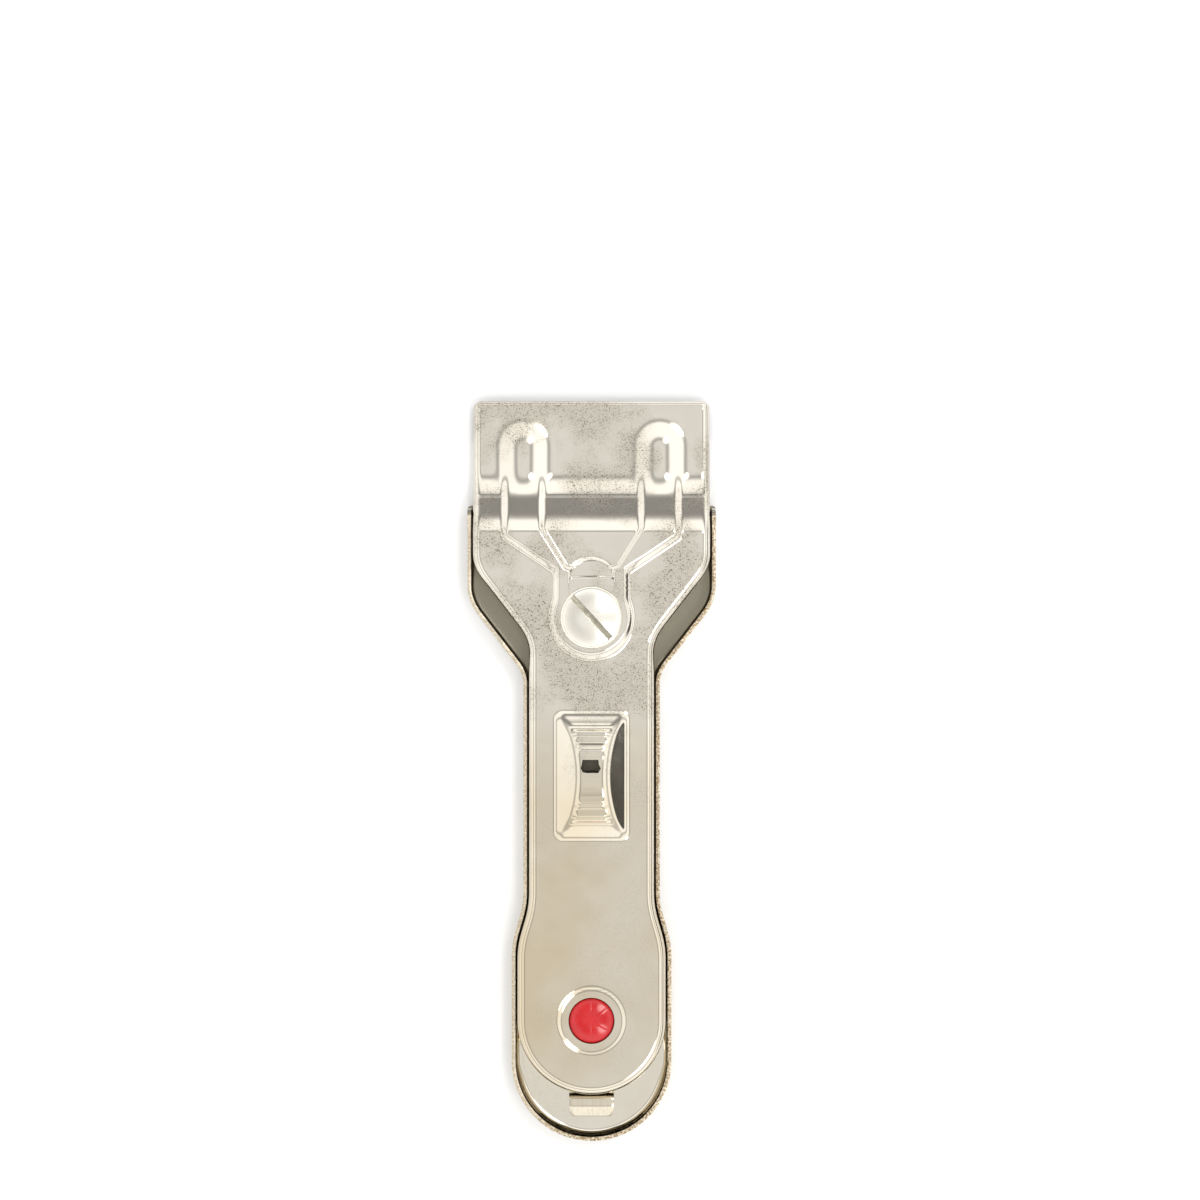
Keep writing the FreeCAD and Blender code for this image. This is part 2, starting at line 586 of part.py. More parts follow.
def make_blade_clamp():
    """Cranked plate: low on the blade, high under the cover round the screw."""
    body = new_body("blade_clamp")
    front = f"({BLADE_MIDDLE} + size.pin_width / 2 + size.pin_hole_clearance + size.clamp_web)"
    foot = f"({FRONT} - size.clamp_bend_setback)"
    bend = f"({foot} - size.clamp_bend_length)"
    rear = f"({SCREW} - size.clamp_tail_reach)"
    low_top = f"({BLADE_TOP} + size.clamp_sheet)"
    high_low = f"({CLAMP_TOP} - size.clamp_sheet)"
    section = [(front, BLADE_TOP), (front, low_top), (foot, low_top), (bend, CLAMP_TOP), (rear, CLAMP_TOP),
               (rear, high_low), (bend, high_low), (foot, BLADE_TOP)]
    pad(body, draw_outline(new_sketch(body, "YZ_Plane"), section), CLAMP_WIDTH, both_sides=True)
    over = "size.cut_overrun"
    waste = shelf(body, f"{CLAMP_TOP} + {over}")
    outer = f"({CLAMP_WIDTH} / 2 + {over})"
    inner = "size.clamp_tail_width / 2"
    draw_box(waste, f"-{outer}", f"-{inner}", f"{rear} - {over}", foot)
    draw_box(waste, inner, outer, f"{rear} - {over}", foot)
    pocket(body, waste, f"{CLAMP_TOP} + {over}")
    holes = shelf(body, f"{CLAMP_TOP} + {over}")
    draw_circle(holes, ("0", SCREW), "(size.screw_width + 2 * size.fit_clearance)")
    for side in ("-", ""):
        draw_circle(holes, (f"{side}size.pin_spacing / 2", BLADE_MIDDLE),
                    "(size.pin_width + 2 * size.pin_hole_clearance)")
    pocket(body, holes, f"{CLAMP_TOP} + {over}")
    return body


def make_pillar(label, y, width, top, bore):
    """Turned pillar with a foot riveted flush into the floor of the tray."""
    half_bore = f"({bore}) / 2"
    spigot = "size.spigot_width / 2"
    half = f"({width}) / 2"
    profile = [(half_bore, "0"), (spigot, "0"), (spigot, "size.tray_sheet"), (half, "size.tray_sheet"),
               (half, top), (half_bore, top)]
    return turned_piece(label, y, profile)


def make_slot_collar():
    """Turned collar between the clamp and the screw head."""
    bore = "(size.screw_width / 2 + size.fit_clearance)"
    half = "size.collar_width / 2"
    profile = [(bore, CLAMP_TOP), (half, CLAMP_TOP), (half, HEAD_SEAT), (bore, HEAD_SEAT)]
    return turned_piece("slot_collar", SCREW, profile)


def make_clamp_screw():
    """Screw with a low domed head and a blind coined slot; its thread is left plain."""
    half = "size.screw_width / 2"
    rim = "size.screw_head_width / 2"
    top = f"({HEAD_SEAT} + size.screw_head_height)"
    rim_top = f"({top} - size.screw_dome)"
    tip = f"({PILLAR_TOP} - size.thread_reach)"
    sphere = "((size.screw_head_width ^ 2 / 4 + size.screw_dome ^ 2) / 2 / size.screw_dome)"
    profile = [("0", tip), (half, tip), (half, HEAD_SEAT), (rim, HEAD_SEAT), (rim, rim_top), ("0", top)]
    body = turned_piece("clamp_screw", SCREW, profile, arcs={4: (("0", f"{top} - {sphere}"), "Y", "left")})
    coin_slot = new_sketch(body, "XY_Plane", lift=f"{top} + size.cut_overrun", up=SCREW)
    coin_slot.setExpression("AttachmentOffset.Rotation.Angle", "size.coin_slot_angle")
    draw_box(coin_slot, "-size.coin_slot_length / 2", "size.coin_slot_length / 2",
             "-size.coin_slot_width / 2", "size.coin_slot_width / 2")
    pocket(body, coin_slot, "size.coin_slot_depth + size.cut_overrun")
    return body


def make_thumb_grip():
    """Pressed hump with a waisted top, cross grooves, a window and two tabs through the cover."""
    body = new_body("thumb_grip")
    over = "size.cut_overrun"
    base = "size.handle_height"
    top = f"({base} + size.grip_height)"
    low_y = f"({GRIP} - size.grip_length / 2)"
    high_y = f"({GRIP} + size.grip_length / 2)"
    foot = draw_box(shelf(body, base), "-size.grip_width / 2", "size.grip_width / 2", low_y, high_y)
    end = "size.grip_end_width / 2"
    hollow_in = "((size.grip_end_width - size.grip_waist_width) / 2)"
    sweep = f"((size.grip_length ^ 2 / 4 + {hollow_in} ^ 2) / 2 / {hollow_in})"
    away = f"(size.grip_waist_width / 2 + {sweep})"
    corners = [(f"-{end}", low_y), (end, low_y), (end, high_y), (f"-{end}", high_y)]
    waists = {1: ((away, GRIP), "X", "right"), 3: ((f"-{away}", GRIP), "X", "right")}
    waisted = draw_outline(shelf(body, top), corners, waists)
    loft(body, foot, waisted)
    fall = "(size.grip_height - size.grip_end_height)"
    arch = f"((size.grip_length ^ 2 / 4 + {fall} ^ 2) / 2 / {fall})"
    shoulder = f"({base} + size.grip_end_height)"
    above = draw_outline(new_sketch(body, "YZ_Plane"),
                         [(low_y, shoulder), (low_y, f"{top} + {over}"), (high_y, f"{top} + {over}"),
                          (high_y, shoulder)],
                         {3: ((GRIP, f"{top} - {arch}"), "Y", "left")})
    pocket(body, above, "size.grip_width", both_sides=True)
    grooves = new_sketch(body, "YZ_Plane")
    for side in ("-", "+"):
        for number in range(3):
            offset = f"(size.ridge_start + size.ridge_pitch * {number})"
            surface = f"({top} - {arch} + sqrt({arch} ^ 2 - {offset} ^ 2))"
            middle = f"{GRIP} {side} {offset}"
            draw_box(grooves, f"{middle} - size.groove_width / 2", f"{middle} + size.groove_width / 2",
                     f"{surface} - size.groove_depth", f"{top} + {over}")
    pocket(body, grooves, "size.grip_width", both_sides=True)
    half_hollow = "(size.washer_width / 2 + size.hollow_clearance)"
    hollow = draw_slot(shelf(body, base), f"2 * {half_hollow}", f"{GRIP} - size.cover_travel / 2",
                       f"{GRIP} + size.cover_travel / 2")
    room = "(size.washer_gap + size.washer_sheet + size.guide_head_height + size.hollow_clearance)"
    pocket(body, hollow, room, upward=True)
    window = draw_box(shelf(body, f"{top} + {over}"), "-size.window_width / 2", "size.window_width / 2",
                      f"{GRIP} + size.window_offset - size.window_length / 2",
                      f"{GRIP} + size.window_offset + size.window_length / 2")
    pocket(body, window, f"size.grip_height + {over} - {room} / 2")
    tabs = shelf(body, f"{base} - size.cover_sheet - size.tab_reach")
    for side in ("-", "+"):
        middle = f"{GRIP} {side} size.tab_offset"
        draw_box(tabs, "-size.tab_width / 2", "size.tab_width / 2", f"{middle} - size.tab_sheet / 2",
                 f"{middle} + size.tab_sheet / 2")
    pad(body, tabs, "size.cover_sheet + size.tab_reach + size.grip_end_height / 2")
    return body


def make_guide_rivet():
    """Shouldered rivet that holds the middle of the cover down while it slides."""
    shank = "size.guide_shank_width / 2"
    neck = "size.guide_neck_width / 2"
    head = "size.guide_head_width / 2"
    seat = f"({WASHER_SEAT} + size.washer_sheet)"
    top = f"({seat} + size.guide_head_height)"
    profile = [("0", "0"), (shank, "0"), (shank, GUIDE_TOP), (neck, GUIDE_TOP), (neck, seat), (head, seat),
               (head, top), ("0", top)]
    return turned_piece("guide_rivet", GUIDE, profile)


def make_guide_washer():
    """Washer between the rivet head and the cover."""
    bore = "(size.guide_neck_width / 2 + size.fit_clearance)"
    half = "size.washer_width / 2"
    top = f"({WASHER_SEAT} + size.washer_sheet)"
    profile = [(bore, WASHER_SEAT), (half, WASHER_SEAT), (half, top), (bore, top)]
    return turned_piece("guide_washer", GUIDE, profile)


def make_lock_button():
    """Moulded push button: dome in the hole of the cover, flange under it, stem down to the leaf."""
    half = "size.button_width / 2"
    flange = "size.button_flange_width / 2"
    stem = "size.button_stem_width / 2"
    flange_top = f"({COVER_UNDERSIDE} - size.dish_depth - size.button_play)"
    flange_low = f"({flange_top} - size.button_flange)"
    dome_foot = "(size.handle_height - size.dish_depth)"
    top = f"({dome_foot} + size.button_dome)"
    sphere = "((size.button_width ^ 2 / 4 + size.button_dome ^ 2) / 2 / size.button_dome)"
    tip = f"{leaf_top(f'{BUTTON} - {stem}')} + size.button_play"
    profile = [("0", tip), (stem, tip), (stem, flange_low), (flange, flange_low), (flange, flange_top),
               (half, flange_top), (half, dome_foot), ("0", top)]
    return turned_piece("lock_button", BUTTON, profile, arcs={6: (("0", f"{top} - {sphere}"), "Y", "left")})


def is_tongue_corner(middle, normals):
    """True at the upright corners of the free end of the tongue."""
    high = middle.z > float(size.tongue_height) - float(size.leaf_sheet)
    return is_upright_corner(middle, normals) and high and any(normal.y < -0.99 for normal in normals)


def make_lock_spring():
    """Leaf riveted to the floor, rising under the button to a tongue behind the cover."""
    body = new_body("lock_spring")
    floor = "size.tray_sheet"
    foot_end = f"({LEAF_ROOT} + size.leaf_foot)"
    tip = f"({TONGUE} - size.tongue_length)"
    riser = f"({TONGUE} - size.leaf_sheet)"
    tongue_low = "(size.tongue_height - size.leaf_sheet)"
    section = [(foot_end, floor), (LEAF_ROOT, floor), (riser, f"{leaf_top(TONGUE)} - size.leaf_sheet"),
               (riser, tongue_low), (tip, tongue_low), (tip, "size.tongue_height"),
               (TONGUE, "size.tongue_height"), (TONGUE, leaf_top(TONGUE)),
               (LEAF_ROOT, f"{floor} + size.leaf_sheet"), (foot_end, f"{floor} + size.leaf_sheet")]
    pad(body, draw_outline(new_sketch(body, "YZ_Plane"), section), "size.leaf_width", both_sides=True)
    holes = shelf(body, f"{floor} + size.leaf_sheet")
    for number in range(2):
        draw_circle(holes, ("0", rivet_place(number)), "size.rivet_width")
    pocket(body, holes, "size.leaf_sheet")
    round_edges(body, "size.tongue_round", is_tongue_corner)
    return body


def make_lock_rivets():
    """Two rivets, flush under the tray, with round heads on the leaf."""
    shank = "size.rivet_width / 2"
    head = "size.rivet_head_width / 2"
    seat = "(size.tray_sheet + size.leaf_sheet)"
    top = f"({seat} + size.rivet_head_height)"
    profile = [("0", "0"), (shank, "0"), (shank, seat), (head, seat), ("0", top)]
    bulge = "((size.rivet_head_width ^ 2 / 4 + size.rivet_head_height ^ 2) / 2 / size.rivet_head_height)"
    arcs = {3: (("0", f"{top} - {bulge}"), "Y", "left")}
    rivets = []
    for number, name in enumerate(("rear_rivet", "front_rivet")):
        rivets.append(turned_piece(name, rivet_place(number), profile, arcs=arcs))
    return group("lock_rivets", rivets)


pieces = [
    make_lower_tray(),
    make_sliding_cover(),
    make_blade(),
    make_blade_pins(),
    make_blade_clamp(),
    make_pillar("clamp_pillar", SCREW, "size.pillar_width", PILLAR_TOP,
                "(size.screw_width + 2 * size.fit_clearance)"),
    make_slot_collar(),
    make_clamp_screw(),
    make_thumb_grip(),
    make_pillar("guide_pillar", GUIDE, "size.guide_width", GUIDE_TOP, "size.guide_shank_width"),
    make_guide_rivet(),
    make_guide_washer(),
    make_lock_button(),
    make_lock_spring(),
    make_lock_rivets(),
]

doc.recompute()
for item in doc.Objects:
    if "Invalid" in item.State or "Error" in item.State:
        raise RuntimeError(f"{item.Label} failed: {item.State}")
for piece in pieces:
    if piece.Shape.isNull() or not piece.Shape.isValid():
        raise RuntimeError(f"{piece.Label} has no valid shape")

os.makedirs("parts", exist_ok=True)
for piece in pieces:
    piece.Shape.exportStep(f"parts/{piece.Label}.step")
    print(piece.Label, len(piece.Shape.Solids), "solids", round(piece.Shape.Volume, 2), "mm3")
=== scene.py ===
import math

import bpy
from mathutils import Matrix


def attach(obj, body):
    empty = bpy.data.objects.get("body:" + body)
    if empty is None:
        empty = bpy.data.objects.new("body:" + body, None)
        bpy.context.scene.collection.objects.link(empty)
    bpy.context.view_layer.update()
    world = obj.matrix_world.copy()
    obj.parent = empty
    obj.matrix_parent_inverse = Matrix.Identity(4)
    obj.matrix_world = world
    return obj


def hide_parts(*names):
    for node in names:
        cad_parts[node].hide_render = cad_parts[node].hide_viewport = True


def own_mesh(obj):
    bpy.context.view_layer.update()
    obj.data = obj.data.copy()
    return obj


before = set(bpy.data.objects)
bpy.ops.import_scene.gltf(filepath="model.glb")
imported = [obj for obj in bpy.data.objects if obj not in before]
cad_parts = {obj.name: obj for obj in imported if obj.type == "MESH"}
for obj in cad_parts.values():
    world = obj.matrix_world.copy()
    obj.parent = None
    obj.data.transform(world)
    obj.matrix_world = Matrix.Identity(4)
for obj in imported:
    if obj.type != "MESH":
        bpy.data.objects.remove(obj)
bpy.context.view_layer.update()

# Lower tray: a pan pressed from 0.7 mm steel sheet and nickel plated, bright outside; inside, forward of the
# tail, it is rougher and painted a darker grey as painted shade for its pockets. Its floor runs on under the
# head as a tongue for the blade; the wall is drawn up round the handle and sheared off level. Sizes here and
# below are millimetres, and each finished mesh is scaled to metres.
tray_sheet = 0.7
tray_rim = 5.2
tray_front = 62.4
tray_wall_front = 50.0
tray_shoulder = 22.8
tray_neck = 12.2
tray_tail_radius = 14.4
tray_tail_middle = -54.9
tongue_half_width = 22.4
tool_half_width = 23.5
pillar_places = (29, -3.59)
pin_places = ((-13, 58.2), (13, 58.2))
leaf_rivet_places = (-35.65, -31.05)


def eased(amount):
    """0 below 0, 1 above 1, and a smooth rise between."""
    amount = min(max(amount, 0.0), 1.0)
    return amount * amount * (3 - 2 * amount)


def outline_width(corners, ease):
    """Half width of a pressed outline as a function of the place along the tool: straight runs between the
    corners (place, half width), with each corner eased over a length to both sides."""
    corners = sorted(corners)

    def half_width(place):
        width = corners[-1][1]
        if place <= corners[0][0]:
            width = corners[0][1]
        for (low, low_width), (high, high_width) in zip(corners, corners[1:]):
            if low < place <= high:
                width = low_width + (high_width - low_width) * (place - low) / (high - low)
        for before, corner, after in zip(corners, corners[1:], corners[2:]):
            turn = (after[1] - corner[1]) / (after[0] - corner[0])
            turn -= (corner[1] - before[1]) / (corner[0] - before[0])
            distance = abs(place - corner[0])
            if distance < ease:
                width += turn * (ease - distance) ** 2 / (4 * ease)
        return width

    return half_width


def side_points(half_width, places, tail_middle, tail_radius, tail_steps):
    """The right-hand edge of an outline from front to tail, as (x, y, outward x, outward y): a run of places
    along the side and then a quarter circle that stops just short of the middle of the tail."""
    points = []
    for place in places:
        slope = (half_width(place + 0.01) - half_width(place - 0.01)) / 0.02
        length = math.hypot(1, slope)
        points.append((half_width(place), place, 1 / length, -slope / length))
    for step in range(1, tail_steps + 1):
        angle = math.radians(88.5) * step / tail_steps
        points.append((tail_radius * math.cos(angle), tail_middle - tail_radius * math.sin(angle),
                       math.cos(angle), -math.sin(angle)))
    return points


def pressed_blank(name, edge, columns, height):
    """A sheet blank as a grid with one line of points across for each point of its right-hand edge, bent to a
    height that depends on the place. edge holds (x, y) from front to tail."""
    bpy.ops.object.select_all(action="DESELECT")
    bpy.ops.mesh.primitive_grid_add(x_subdivisions=columns, y_subdivisions=len(edge) - 1, size=2)
    blank = bpy.context.object
    blank.name = name
    last = len(edge) - 1
    for point in blank.data.vertices:
        half, place = edge[round((1 - point.co.y) / 2 * last)]
        across = point.co.x * half
        point.co = (across, place, height(across, place))
    return blank


def free_edge(blank):
    """The numbers of the edges of a mesh that belong to one face only."""
    uses = {}
    for face in blank.data.polygons:
        for key in face.edge_keys:
            uses[key] = uses.get(key, 0) + 1
    return [edge.index for edge in blank.data.edges if uses[edge.key] == 1]


def draw_edge(blank, edges, moves):
    """Draws the chosen free edges of a blank out in steps. Each move is a function of the edge's first place
    that gives the new place of that point."""
    mesh = blank.data
    first_place = {number: tuple(mesh.vertices[number].co)
                   for edge in edges for number in mesh.edges[edge].vertices}
    for part in (mesh.polygons, mesh.edges, mesh.vertices):
        part.foreach_set("select", [False] * len(part))
    for edge in edges:
        mesh.edges[edge].select = True
        for number in mesh.edges[edge].vertices:
            mesh.vertices[number].select = True
    for move in moves:
        bpy.ops.object.mode_set(mode="EDIT")
        bpy.ops.mesh.select_mode(type="EDGE")
        bpy.ops.mesh.extrude_edges_indiv()
        bpy.ops.object.mode_set(mode="OBJECT")
        mesh = blank.data
        carried = {}
        for edge in mesh.edges:
            start, end = edge.vertices
            if mesh.vertices[start].select != mesh.vertices[end].select:
                old, new = (end, start) if mesh.vertices[start].select else (start, end)
                if old in first_place:
                    carried[new] = first_place[old]
        first_place = carried
        for number, place in first_place.items():
            mesh.vertices[number].co = move(place)


def finish_with(piece, kind, **settings):
    """Adds a modifier to a piece and applies it."""
    bpy.ops.object.select_all(action="DESELECT")
    bpy.context.view_layer.objects.active = piece
    piece.select_set(True)
    modifier = piece.modifiers.new(kind.lower(), kind)
    for name, value in settings.items():
        setattr(modifier, name, value)
    bpy.ops.object.modifier_apply(modifier=modifier.name)


def face_outwards(piece):
    """Turns all faces of a closed mesh outwards."""
    bpy.ops.object.select_all(action="DESELECT")
    bpy.context.view_layer.objects.active = piece
    piece.select_set(True)
    bpy.ops.object.mode_set(mode="EDIT")
    bpy.ops.mesh.select_all(action="SELECT")
    bpy.ops.mesh.normals_make_consistent(inside=False)
    bpy.ops.object.mode_set(mode="OBJECT")


def thicken(blank, sheet, edge):
    """Gives a bent blank its thickness behind its drawn face, and takes the sharpness off its edges."""
    finish_with(blank, "SOLIDIFY", thickness=sheet, offset=-1, use_even_offset=True)
    face_outwards(blank)
    finish_with(blank, "BEVEL", width=edge, segments=2, limit_method="ANGLE", angle_limit=math.radians(60))


def upright_cutter(outline, low, high):
    """A straight-sided punch with an outline seen from above, between two heights."""
    bpy.ops.object.select_all(action="DESELECT")
    bpy.ops.mesh.primitive_circle_add(vertices=len(outline), radius=1, fill_type="NGON")
    punch = bpy.context.object
    for point, (across, along) in zip(punch.data.vertices, outline):
        point.co = (across, along, low)
    bpy.ops.object.mode_set(mode="EDIT")
    bpy.ops.mesh.select_all(action="SELECT")
    bpy.ops.mesh.extrude_region_move(TRANSFORM_OT_translate={"value": (0, 0, high - low)})
    bpy.ops.mesh.select_all(action="SELECT")
    bpy.ops.mesh.normals_make_consistent(inside=False)
    bpy.ops.object.mode_set(mode="OBJECT")
    return punch


def round_outline(across, along, radius, steps=48):
    """A circle seen from above."""
    return [(across + radius * math.cos(2 * math.pi * step / steps),
             along + radius * math.sin(2 * math.pi * step / steps)) for step in range(steps)]


def punch_through(piece, punches):
    """Cuts punches out of a piece and takes them away."""
    for punch in punches:
        finish_with(piece, "BOOLEAN", operation="DIFFERENCE", object=punch, solver="EXACT")
        bpy.data.objects.remove(punch)


def finish_in_metres(piece, smooth_below):
    """Scales a mesh made in millimetres to metres and smooths it across edges flatter than an angle."""
    bpy.ops.object.select_all(action="DESELECT")
    bpy.context.view_layer.objects.active = piece
    piece.select_set(True)
    piece.scale = (0.001, 0.001, 0.001)
    bpy.ops.object.transform_apply(location=True, rotation=True, scale=True)
    bpy.ops.object.shade_smooth_by_angle(angle=math.radians(smooth_below))


tray_inside = outline_width([(80, tray_shoulder), (32.6, tray_shoulder), (18.9, tray_neck),
                             (-25.4, tray_neck), (-32.9, tray_tail_radius), (-60, tray_tail_radius)], 2.4)


def tray_corner(place):
    """Radius between floor and wall, a little wider at the tail than beside the cover."""
    return 0.75 + 0.65 * eased((-54 - place) / 6)


def tray_half(place):
    """Half width of the flat floor: the tongue under the head, then the pan inside its corner radius."""
    pan = tray_inside(place) - tray_corner(place)
    return pan + (tongue_half_width - pan) * eased((place - 49.6) / 1.0)


tray_places = [tray_front, 58, 54, 51.5, 50.6, 50.2, 49.8, 49.4, 49.0, 48.4, 47, 44, 41, 38]
tray_places += [36 - 0.5 * step for step in range(45)]
tray_places += [13 - 2 * step for step in range(18)]
tray_places += [-22 - 0.5 * step for step in range(28)]
tray_places += [-37 - 2 * step for step in range(9)]
tray_edge = side_points(tray_inside, tray_places, tray_tail_middle, tray_tail_radius, 40)
tray_floor_edge = []
tray_turn = {}
for across, along, out_x, out_y in tray_edge:
    radius = tray_corner(along)
    inner = (across - radius * out_x, along - radius * out_y)
    if along > tray_tail_middle:
        inner = (tray_half(along), along)
    tray_floor_edge.append(inner)
    tray_turn[round(inner[1], 4)] = (out_x, out_y, radius)
tray_last_row = tray_floor_edge[-1]
lower_tray = pressed_blank("lower_tray_pan", tray_floor_edge, 24, lambda across, along: tray_sheet)


def tray_outward(across, along):
    """Outward direction and corner radius at the edge of the tray floor."""
    out_x, out_y, radius = min(tray_turn.items(), key=lambda entry: abs(entry[0] - along))[1]
    if abs(along - tray_last_row[1]) < 0.001 and abs(across) < tray_last_row[0] - 0.001:
        reach = math.hypot(across, along - tray_tail_middle)
        return across / reach, (along - tray_tail_middle) / reach, radius
    return math.copysign(out_x, across), out_y, radius


def tray_wall_step(turn, rise):
    """A place on the drawn wall: turn is the share of the corner, rise the share of the straight wall."""
    def move(place):
        across, along, _ = place
        out_x, out_y, radius = tray_outward(across, along)
        full = eased((tray_wall_front - along) / 1.2)
        aside = radius * math.sin(turn * math.pi / 2)
        lift = radius * (1 - math.cos(turn * math.pi / 2)) + rise * (tray_rim - tray_sheet - radius)
        return across + aside * out_x, along + aside * out_y, tray_sheet + lift * full
    return move


wall_edges = [number for number in free_edge(lower_tray)
              if all(lower_tray.data.vertices[end].co.y < tray_wall_front + 0.5
                     for end in lower_tray.data.edges[number].vertices)]
draw_edge(lower_tray, wall_edges,
          [tray_wall_step(turn, 0) for turn in (0.17, 0.34, 0.5, 0.67, 0.84, 1)]
          + [tray_wall_step(1, rise) for rise in (0.25, 0.5, 0.75, 1)])
thicken(lower_tray, tray_sheet, 0.12)
tray_holes = [(0, along, 2.73) for along in pillar_places]
tray_holes += [(across, along, 1.53) for across, along in pin_places]
tray_holes += [(0, along, 1.13) for along in leaf_rivet_places]
punch_through(lower_tray, [upright_cutter(round_outline(*hole), -1, 2) for hole in tray_holes])
for point in lower_tray.data.vertices:
    point.co.x = min(max(point.co.x, -tool_half_width), tool_half_width)
finish_in_metres(lower_tray, 40)


def linear(colour):
    """An sRGB hex colour as linear red, green, blue and alpha."""
    parts = [int(colour[place:place + 2], 16) / 255 for place in (1, 3, 5)]
    return [part / 12.92 if part <= 0.04045 else ((part + 0.055) / 1.055) ** 2.4 for part in parts] + [1]


def add_node(material, kind, settings=None, links=None):
    """Adds a node to a node tree, sets its values and wires its inputs."""
    node = material.node_tree.nodes.new(kind)
    for name, value in (settings or {}).items():
        if isinstance(name, int) or name in node.inputs:
            node.inputs[name].default_value = value
        else:
            setattr(node, name, value)
    for name, output in (links or {}).items():
        material.node_tree.links.new(output, node.inputs[name])
    return node


def new_material(name, metallic=1.0):
    """A new material, with the inputs of its surface and the place in the piece that its patterns follow."""
    material = bpy.data.materials.new(name)
    material.use_nodes = True
    surface = material.node_tree.nodes["Principled BSDF"].inputs
    surface["Metallic"].default_value = metallic
    return material, surface, add_node(material, "ShaderNodeTexCoord").outputs["Object"]


def noise(material, place, size, detail):
    """A random pattern of patches of about a size in metres."""
    settings = {"Scale": 1 / size, "Detail": detail}
    return add_node(material, "ShaderNodeTexNoise", settings, {"Vector": place}).outputs["Fac"]


def ranged(material, value, low, high, low_value=0.0, high_value=1.0):
    """A value that goes evenly from one level to another while an output goes from low to high."""
    settings = {"From Min": low, "From Max": high, "To Min": low_value, "To Max": high_value}
    return add_node(material, "ShaderNodeMapRange", settings, {"Value": value}).outputs["Result"]


def worked(material, operation, first, second=None):
    """A sum on an output, alone or with another output or a number."""
    settings = {"operation": operation}
    links = {0: first}
    if isinstance(second, float):
        settings[1] = second
    elif second is not None:
        links[1] = second
    return add_node(material, "ShaderNodeMath", settings, links).outputs["Value"]


def toned(material, share, first, second):
    """The first colour where the share is 0 and the second where it is 1, each a hex colour or an output."""
    mix = add_node(material, "ShaderNodeMix", {"data_type": "RGBA"}, {0: share})
    for socket, colour in ((6, first), (7, second)):
        if isinstance(colour, str):
            mix.inputs[socket].default_value = linear(colour)
        else:
            material.node_tree.links.new(colour, mix.inputs[socket])
    return mix.outputs[2]


def patterned(material, surface, pattern, tones, polish):
    """Colours a surface between two tones and roughens it between two levels, both by one pattern."""
    material.node_tree.links.new(toned(material, pattern, *tones), surface["Base Color"])
    material.node_tree.links.new(ranged(material, pattern, 0.0, 1.0, *polish), surface["Roughness"])


# Bright nickel plate on pressed steel: a warm cream mirror, faintly wavy from the press, with a warmer beige
# painted towards the tail as a painted reflection. The head has hazy grey patches about 11 mm across with pits
# 0.25 mm apart and curled polishing marks.
def nickel_plate(name, painted_shade_from, tail_reflection_tone, head_tone):
    """Polished nickel plate. In front of the given place, in metres, it is rougher and painted a darker grey,
    painted shade as in the pan.
    """
    material, surface, place = new_material(name)
    links = material.node_tree.links
    along = add_node(material, "ShaderNodeSeparateXYZ", links={"Vector": place}).outputs["Y"]
    head = ranged(material, along, -0.008, 0.014, 0.12)
    patches = ranged(material, noise(material, place, 0.011, 4.0), 0.46, 0.60)
    hazy = worked(material, "MULTIPLY", head, patches)
    pits = ranged(material, noise(material, place, 0.00025, 1.0), 0.60, 0.68)
    curl_offset = worked(material, "SUBTRACT", noise(material, place, 0.0011, 2.0), 0.56)
    curls = ranged(material, worked(material, "ABSOLUTE", curl_offset), 0.012, 0.004, 0.0, 0.8)
    marks = worked(material, "MULTIPLY", hazy, worked(material, "MAXIMUM", pits, curls))
    warmth = ranged(material, noise(material, place, 0.02, 3.0), 0.35, 0.65, 0.0, 0.6)
    # Towards the tail the colour is mixed to a warmer beige: a painted reflection on the lower handle.
    tone = toned(material, warmth, toned(material, head, tail_reflection_tone, head_tone), head_tone)
    hazed = toned(material, worked(material, "MULTIPLY", hazy, 0.5), tone, "#BDB5A5")
    marked = toned(material, marks, hazed, "#6F6758")
    # Forward of that place the colour is mixed to a darker grey: painted shade for the pockets of the tray,
    # with more roughness as well.
    dull_and_painted_shade = ranged(material, along, painted_shade_from, painted_shade_from + 0.006)
    links.new(toned(material, dull_and_painted_shade, marked, "#8D8778"), surface["Base Color"])
    polish = ranged(material, hazy, 0.0, 1.0, 0.08, 0.19)
    roughness = add_node(material, "ShaderNodeMix", {3: 0.34}, {0: dull_and_painted_shade, 2: polish})
    links.new(roughness.outputs[0], surface["Roughness"])
    waves = noise(material, place, 0.009, 2.0)
    waviness = add_node(material, "ShaderNodeBump", {"Strength": 1.0, "Distance": 0.00005}, {"Height": waves})
    links.new(waviness.outputs["Normal"], surface["Normal"])
    return material


nowhere_dull_or_shaded = 1.0
# The warmer tail tone of this plate is a painted reflection.
nickel = nickel_plate("bright_nickel_plate_polished", nowhere_dull_or_shaded, "#C6B89C", "#D9D3C7")
# Inside the pan, forward of the tail, the plate is painted a darker grey as painted shade.
pan_nickel_painted_shade = nickel_plate("nickel_plate_dull_with_painted_shade_in_the_pan", -0.044, "#D8D0BF", "#D9D4C9")

# The sheared rim of the tray: the plate is thin and rough there, with brown grains painted in; the code makes
# them denser towards the right and at the tail.
sheared, surface, place = new_material("sheared_steel_edge_thinly_plated")
surface["Roughness"].default_value = 0.42
grains = ranged(sheared, noise(sheared, place, 0.00035, 4.0), 0.40, 0.58)
rim_parts = add_node(sheared, "ShaderNodeSeparateXYZ", links={"Vector": place}).outputs
